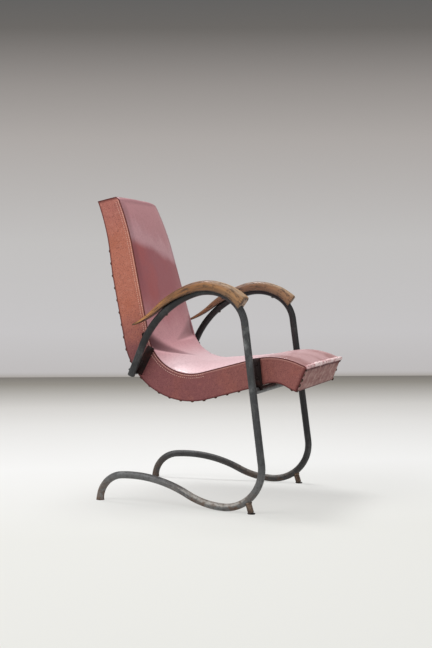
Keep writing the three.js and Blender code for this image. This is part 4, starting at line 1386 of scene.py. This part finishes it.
along_line("cover_nails", nail_lines, nail, 0.036, nail_metal, size_spread=0.07, spin=6.28)

# %% Two rows of stitching beside each seam
out_direction = Vector((1, SIDE_TOE, SIDE_LEAN)).normalized()
stitch_lines = []
for side, _ in SIDES:
    out = (side * out_direction.x, out_direction.y, out_direction.z)
    for row in (ROWS[0] + 0.7, ROWS[1] + 0.7):
        def stitch_place(d):
            depth = corner_drop(d) + row
            return (side * edge(d, depth, 0.7), depth), out
        stitch_lines.append(surface_line(spread(330, SHELL_LENGTH - 18, 6), stitch_place))
along_line("seam_stitches", stitch_lines, stitch, 0.0065, pale_thread, size_spread=0.1)


# %% [markdown]
# ## Screws
#
# Slotted screws hold the straps and the armrests. The head is a dome with a slot pressed into
# it, made once and set on each CAD screw. Its place is the top point of the CAD head, and its
# slot ends up at a different angle on each, as a screwdriver leaves it.

# %% A slotted head and the screws
def slotted_head(radius, height, shank, length):
    rows = [-1, -0.8, -0.55, -0.3, -0.13, -0.12, 0.12, 0.13, 0.3, 0.55, 0.8, 1]
    mesh = bmesh.new()
    grid = []
    for x in rows:
        line = []
        for y in rows:
            px, py = x * math.sqrt(1 - y * y / 2), y * math.sqrt(1 - x * x / 2)
            z = height * (1 - min(1, math.hypot(px, py)) ** 2.6)
            if abs(x) < 0.125:
                z = min(z, max(height * 0.42, z - height * 0.5)) if abs(y) < 1 else z
            line.append(mesh.verts.new((px * radius * MM, py * radius * MM, z * MM)))
        grid.append(line)
    for i in range(len(rows) - 1):
        for j in range(len(rows) - 1):
            mesh.faces.new((grid[i][j], grid[i + 1][j], grid[i + 1][j + 1], grid[i][j + 1]))
    rim = [e for e in mesh.edges if len(e.link_faces) == 1]
    for factor, depth in ((1.0, -0.2), (shank / radius, 0.0), (1.0, -length)):
        made = bmesh.ops.extrude_edge_only(mesh, edges=rim)["geom"]
        rim = [e for e in made if isinstance(e, bmesh.types.BMEdge) and len(e.link_faces) == 1]
        for vert in {v for e in rim for v in e.verts}:
            vert.co.x *= factor
            vert.co.y *= factor
            vert.co.z += depth * MM
    bmesh.ops.contextual_create(mesh, geom=rim)
    bmesh.ops.recalc_face_normals(mesh, faces=mesh.faces)
    data = bpy.data.meshes.new("screw_shape")
    mesh.to_mesh(data)
    mesh.free()
    shape = bpy.data.objects.new("screw_shape", data)
    bpy.context.scene.collection.objects.link(shape)
    return shape


def head_top(node, direction):
    """The furthest point of a CAD screw in the direction in which its head looks."""
    points = np.array([v.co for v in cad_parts[node].data.vertices])
    return points[np.argmax(points @ np.array(direction))]


def set_screws(name, nodes, shape, height, material):
    """One short line for each screw, so that the tree sets exactly one shape on it."""
    lines = []
    for node, direction in nodes:
        direction = np.array(direction) / np.linalg.norm(direction)
        base = head_top(node, direction) - direction * height * MM
        aside = np.array(Vector(direction).orthogonal().normalized())
        lines.append([(base - aside * 0.00001, direction), (base + aside * 0.00001, direction)])
    return along_line(name, lines, shape, 1.0, material, [n for n, _ in nodes], spin=3.0)


SCREW_HEAD, SCREW_HEIGHT = 4.5, 2.4
screw_shape = slotted_head(SCREW_HEAD, SCREW_HEIGHT, 2.0, 6)
strap_screws, arm_screws = [], []
for side, name in SIDES:
    out = (side * out_direction.x, out_direction.y, out_direction.z)
    for part in ("front_strap_screw", "rear_strap_screw"):
        strap_screws += [(f"{part}_{end}_{name}", out) for end in ("lower", "upper")]
    for share, end in zip((0.25, 0.72), ("front", "rear")):
        heading = upwards.at(arm_start + share * (arm_end - arm_start))[2] - math.pi / 2
        base, tip = on_side(side, 0, 0, 0), on_side(side, 0, math.cos(heading), math.sin(heading))
        arm_screws.append((f"arm_screw_{end}_{name}", np.subtract(tip, base)))
set_screws("strap_screws", strap_screws, screw_shape, SCREW_HEIGHT, black_steel)
set_screws("arm_screws", arm_screws, screw_shape, SCREW_HEIGHT, screw_steel)

# %% [markdown]
# ## What stays as CAD made it
#
# The carcass inside the shell is right as it is. It only needs its wood, and the bolts keep
# their domed heads with a better steel.

# %% Finishes for the carried-over CAD nodes
def dress(node, material):
    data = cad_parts[node].data
    data.materials.clear()
    data.materials.append(material)


for node in ("side_board_left", "side_board_right", "front_board", "seat_rail", "lap_rail"):
    dress(node, frame_wood)
for node in ("lumbar_rail", "back_rail", "top_rail"):
    dress(node, frame_wood)
dress("spring_deck", deck_board)
for _, name in SIDES:
    dress(f"rail_bolt_{name}", black_steel)

# %% [markdown]
# ## Floor, wall and light
#
# The chair stands in a plain studio: a near-white floor, a grey wall that darkens upwards and
# one broad light from the upper left of the camera. The wall is set where the photograph shows
# its foot. Camera, glossy and transmission rays see the wall and floor in the photograph's
# tones, and other rays see their plain colours, so the chair's light doesn't change.

# %% Floor and wall
def flat_piece(name, corners, material):
    data = bpy.data.meshes.new(name)
    data.from_pydata([tuple(c) for c in corners], [], [range(len(corners))])
    data.materials.append(material)
    piece = bpy.data.objects.new(name, data)
    bpy.context.scene.collection.objects.link(piece)
    return piece


def seen_rays(finish):
    path = finish.tree.nodes.new("ShaderNodeLightPath")
    rays = [Value(finish, path.outputs[key]) for key in ("Is Camera Ray", "Is Glossy Ray", "Is Transmission Ray")]
    return finish.node("ShaderNodeMath", {"operation": "ADD", "use_clamp": True}, [rays[0] + rays[1], rays[2]])


wall_left, wall_right = floor_under(0, 377.5), floor_under(431, 375.5)
wall_run = (wall_right - wall_left).normalized()
wall_seen = (wall_right - wall_left).length
from_wall = Vector((-wall_run.y, wall_run.x, 0))
if (camera_place - wall_left).dot(from_wall) < 0:
    from_wall = -from_wall

# The wall's tones darken upwards and the floor's at the wall's foot: painted shade.
WALL_TONES = ((0.0, "#aca7a2"), (0.01, "#c2bfbf"), (0.10, "#c9c7c8"), (0.30, "#c4c2c1"))
WALL_TONES += ((0.533, "#afaaa7"), (0.65, "#989390"), (0.777, "#6d6a67"), (0.872, "#616161"))
FLOOR_TONES = ((0.0, "#86827d"), (0.07, "#9a968f"), (0.25, "#d5d3d0"))
FLOOR_TONES += ((0.35, "#e1e0de"), (0.51, "#ececeb"), (0.66, "#e3e3df"))


def studio(name, plain, tones, along, share):
    """A matt surface. Camera, glossy and transmission rays see its tones. The lamps light a
    share of them, so that the chair's shadow stays on it, and the rest glow."""
    finish = Finish(name, Roughness=0.95)
    finish.put(finish.shader, {"Base Color": plain, "Specular IOR Level": 0.0})
    ramp = finish.tree.nodes.new("ShaderNodeValToRGB")
    stops = ramp.color_ramp.elements
    while len(stops) < len(tones):
        stops.new(0.5)
    for stop, (place, tone) in zip(stops, tones):
        stop.position, stop.color = place, colour(tone)
    finish.put(ramp, {0: along(finish)})
    tone = Value(finish, ramp.outputs[0])
    glow = finish.node("ShaderNodeEmission", {}, {"Color": tone, "Strength": 1 - share})
    lit_part = finish.mix(1.0, tone, [share] * 3 + [1], "MULTIPLY")
    lit = finish.node("ShaderNodeBsdfDiffuse", {}, {"Color": lit_part})
    seen = finish.node("ShaderNodeAddShader", {}, [glow, lit])
    plain_shader = Value(finish, finish.shader.outputs[0])
    blend = finish.node("ShaderNodeMixShader", {}, [seen_rays(finish), plain_shader, seen])
    finish.put(finish.tree.nodes["Material Output"], {"Surface": blend})
    return finish.material


def up_the_wall(finish):
    x, y, height = finish.parts(finish.place)
    along = (x * wall_run.x + y * wall_run.y - wall_left.dot(wall_run)) / wall_seen
    return height * (along * -0.10 + 1) / 3.0


def off_the_wall(finish):
    x, y, _ = finish.parts(finish.place)
    return (x * from_wall.x + y * from_wall.y - wall_left.dot(from_wall)) / 8.0


wall_material = studio("studio_wall", "#b9b6b3", WALL_TONES, up_the_wall, 0.1)
floor_material = studio("studio_floor", "#dedfdb", FLOOR_TONES, off_the_wall, 0.3)

FLOOR = 14
flat_piece("floor", ((-FLOOR, -FLOOR, 0), (FLOOR, -FLOOR, 0), (FLOOR, FLOOR, 0), (-FLOOR, FLOOR, 0)), floor_material)
ends = (wall_left - wall_run * 6, wall_right + wall_run * 6)
flat_piece("wall", (*ends, ends[1] + Vector((0, 0, 6)), ends[0] + Vector((0, 0, 6))), wall_material)


# %% Light
def soft_light(name, place, aim, size, power, tint=(1, 1, 1)):
    data = bpy.data.lights.new(name, "AREA")
    data.size, data.energy, data.color = size, power, tint
    light = bpy.data.objects.new(name, data)
    bpy.context.scene.collection.objects.link(light)
    light.matrix_world = Matrix.Translation(place) @ (aim - Vector(place)).to_track_quat("-Z", "Y").to_matrix().to_4x4()
    return light


aim = Vector((0, 0, 0.45))
soft_light("key", (-2.6, 1.8, 3.2), aim, 2.2, 88)
soft_light("fill", (-3.0, -3.2, 2.2), aim, 2.6, 26)
soft_light("top", (0.9, 0.6, 4.0), aim, 1.3, 120)
world = bpy.data.worlds.new("studio")
bpy.context.scene.world = world
world.use_nodes = True
world.node_tree.nodes["Background"].inputs[0].default_value = (1.0, 0.985, 0.97, 1)
world.node_tree.nodes["Background"].inputs[1].default_value = 0.42
bpy.context.scene.view_settings.view_transform = "Standard"

# %% [markdown]
# ## Tidy up
#
# The small shapes that the trees copied are taken away.

# %% Remove the copied shapes
for shape in (nail, stitch, screw_shape):
    bpy.data.objects.remove(shape)
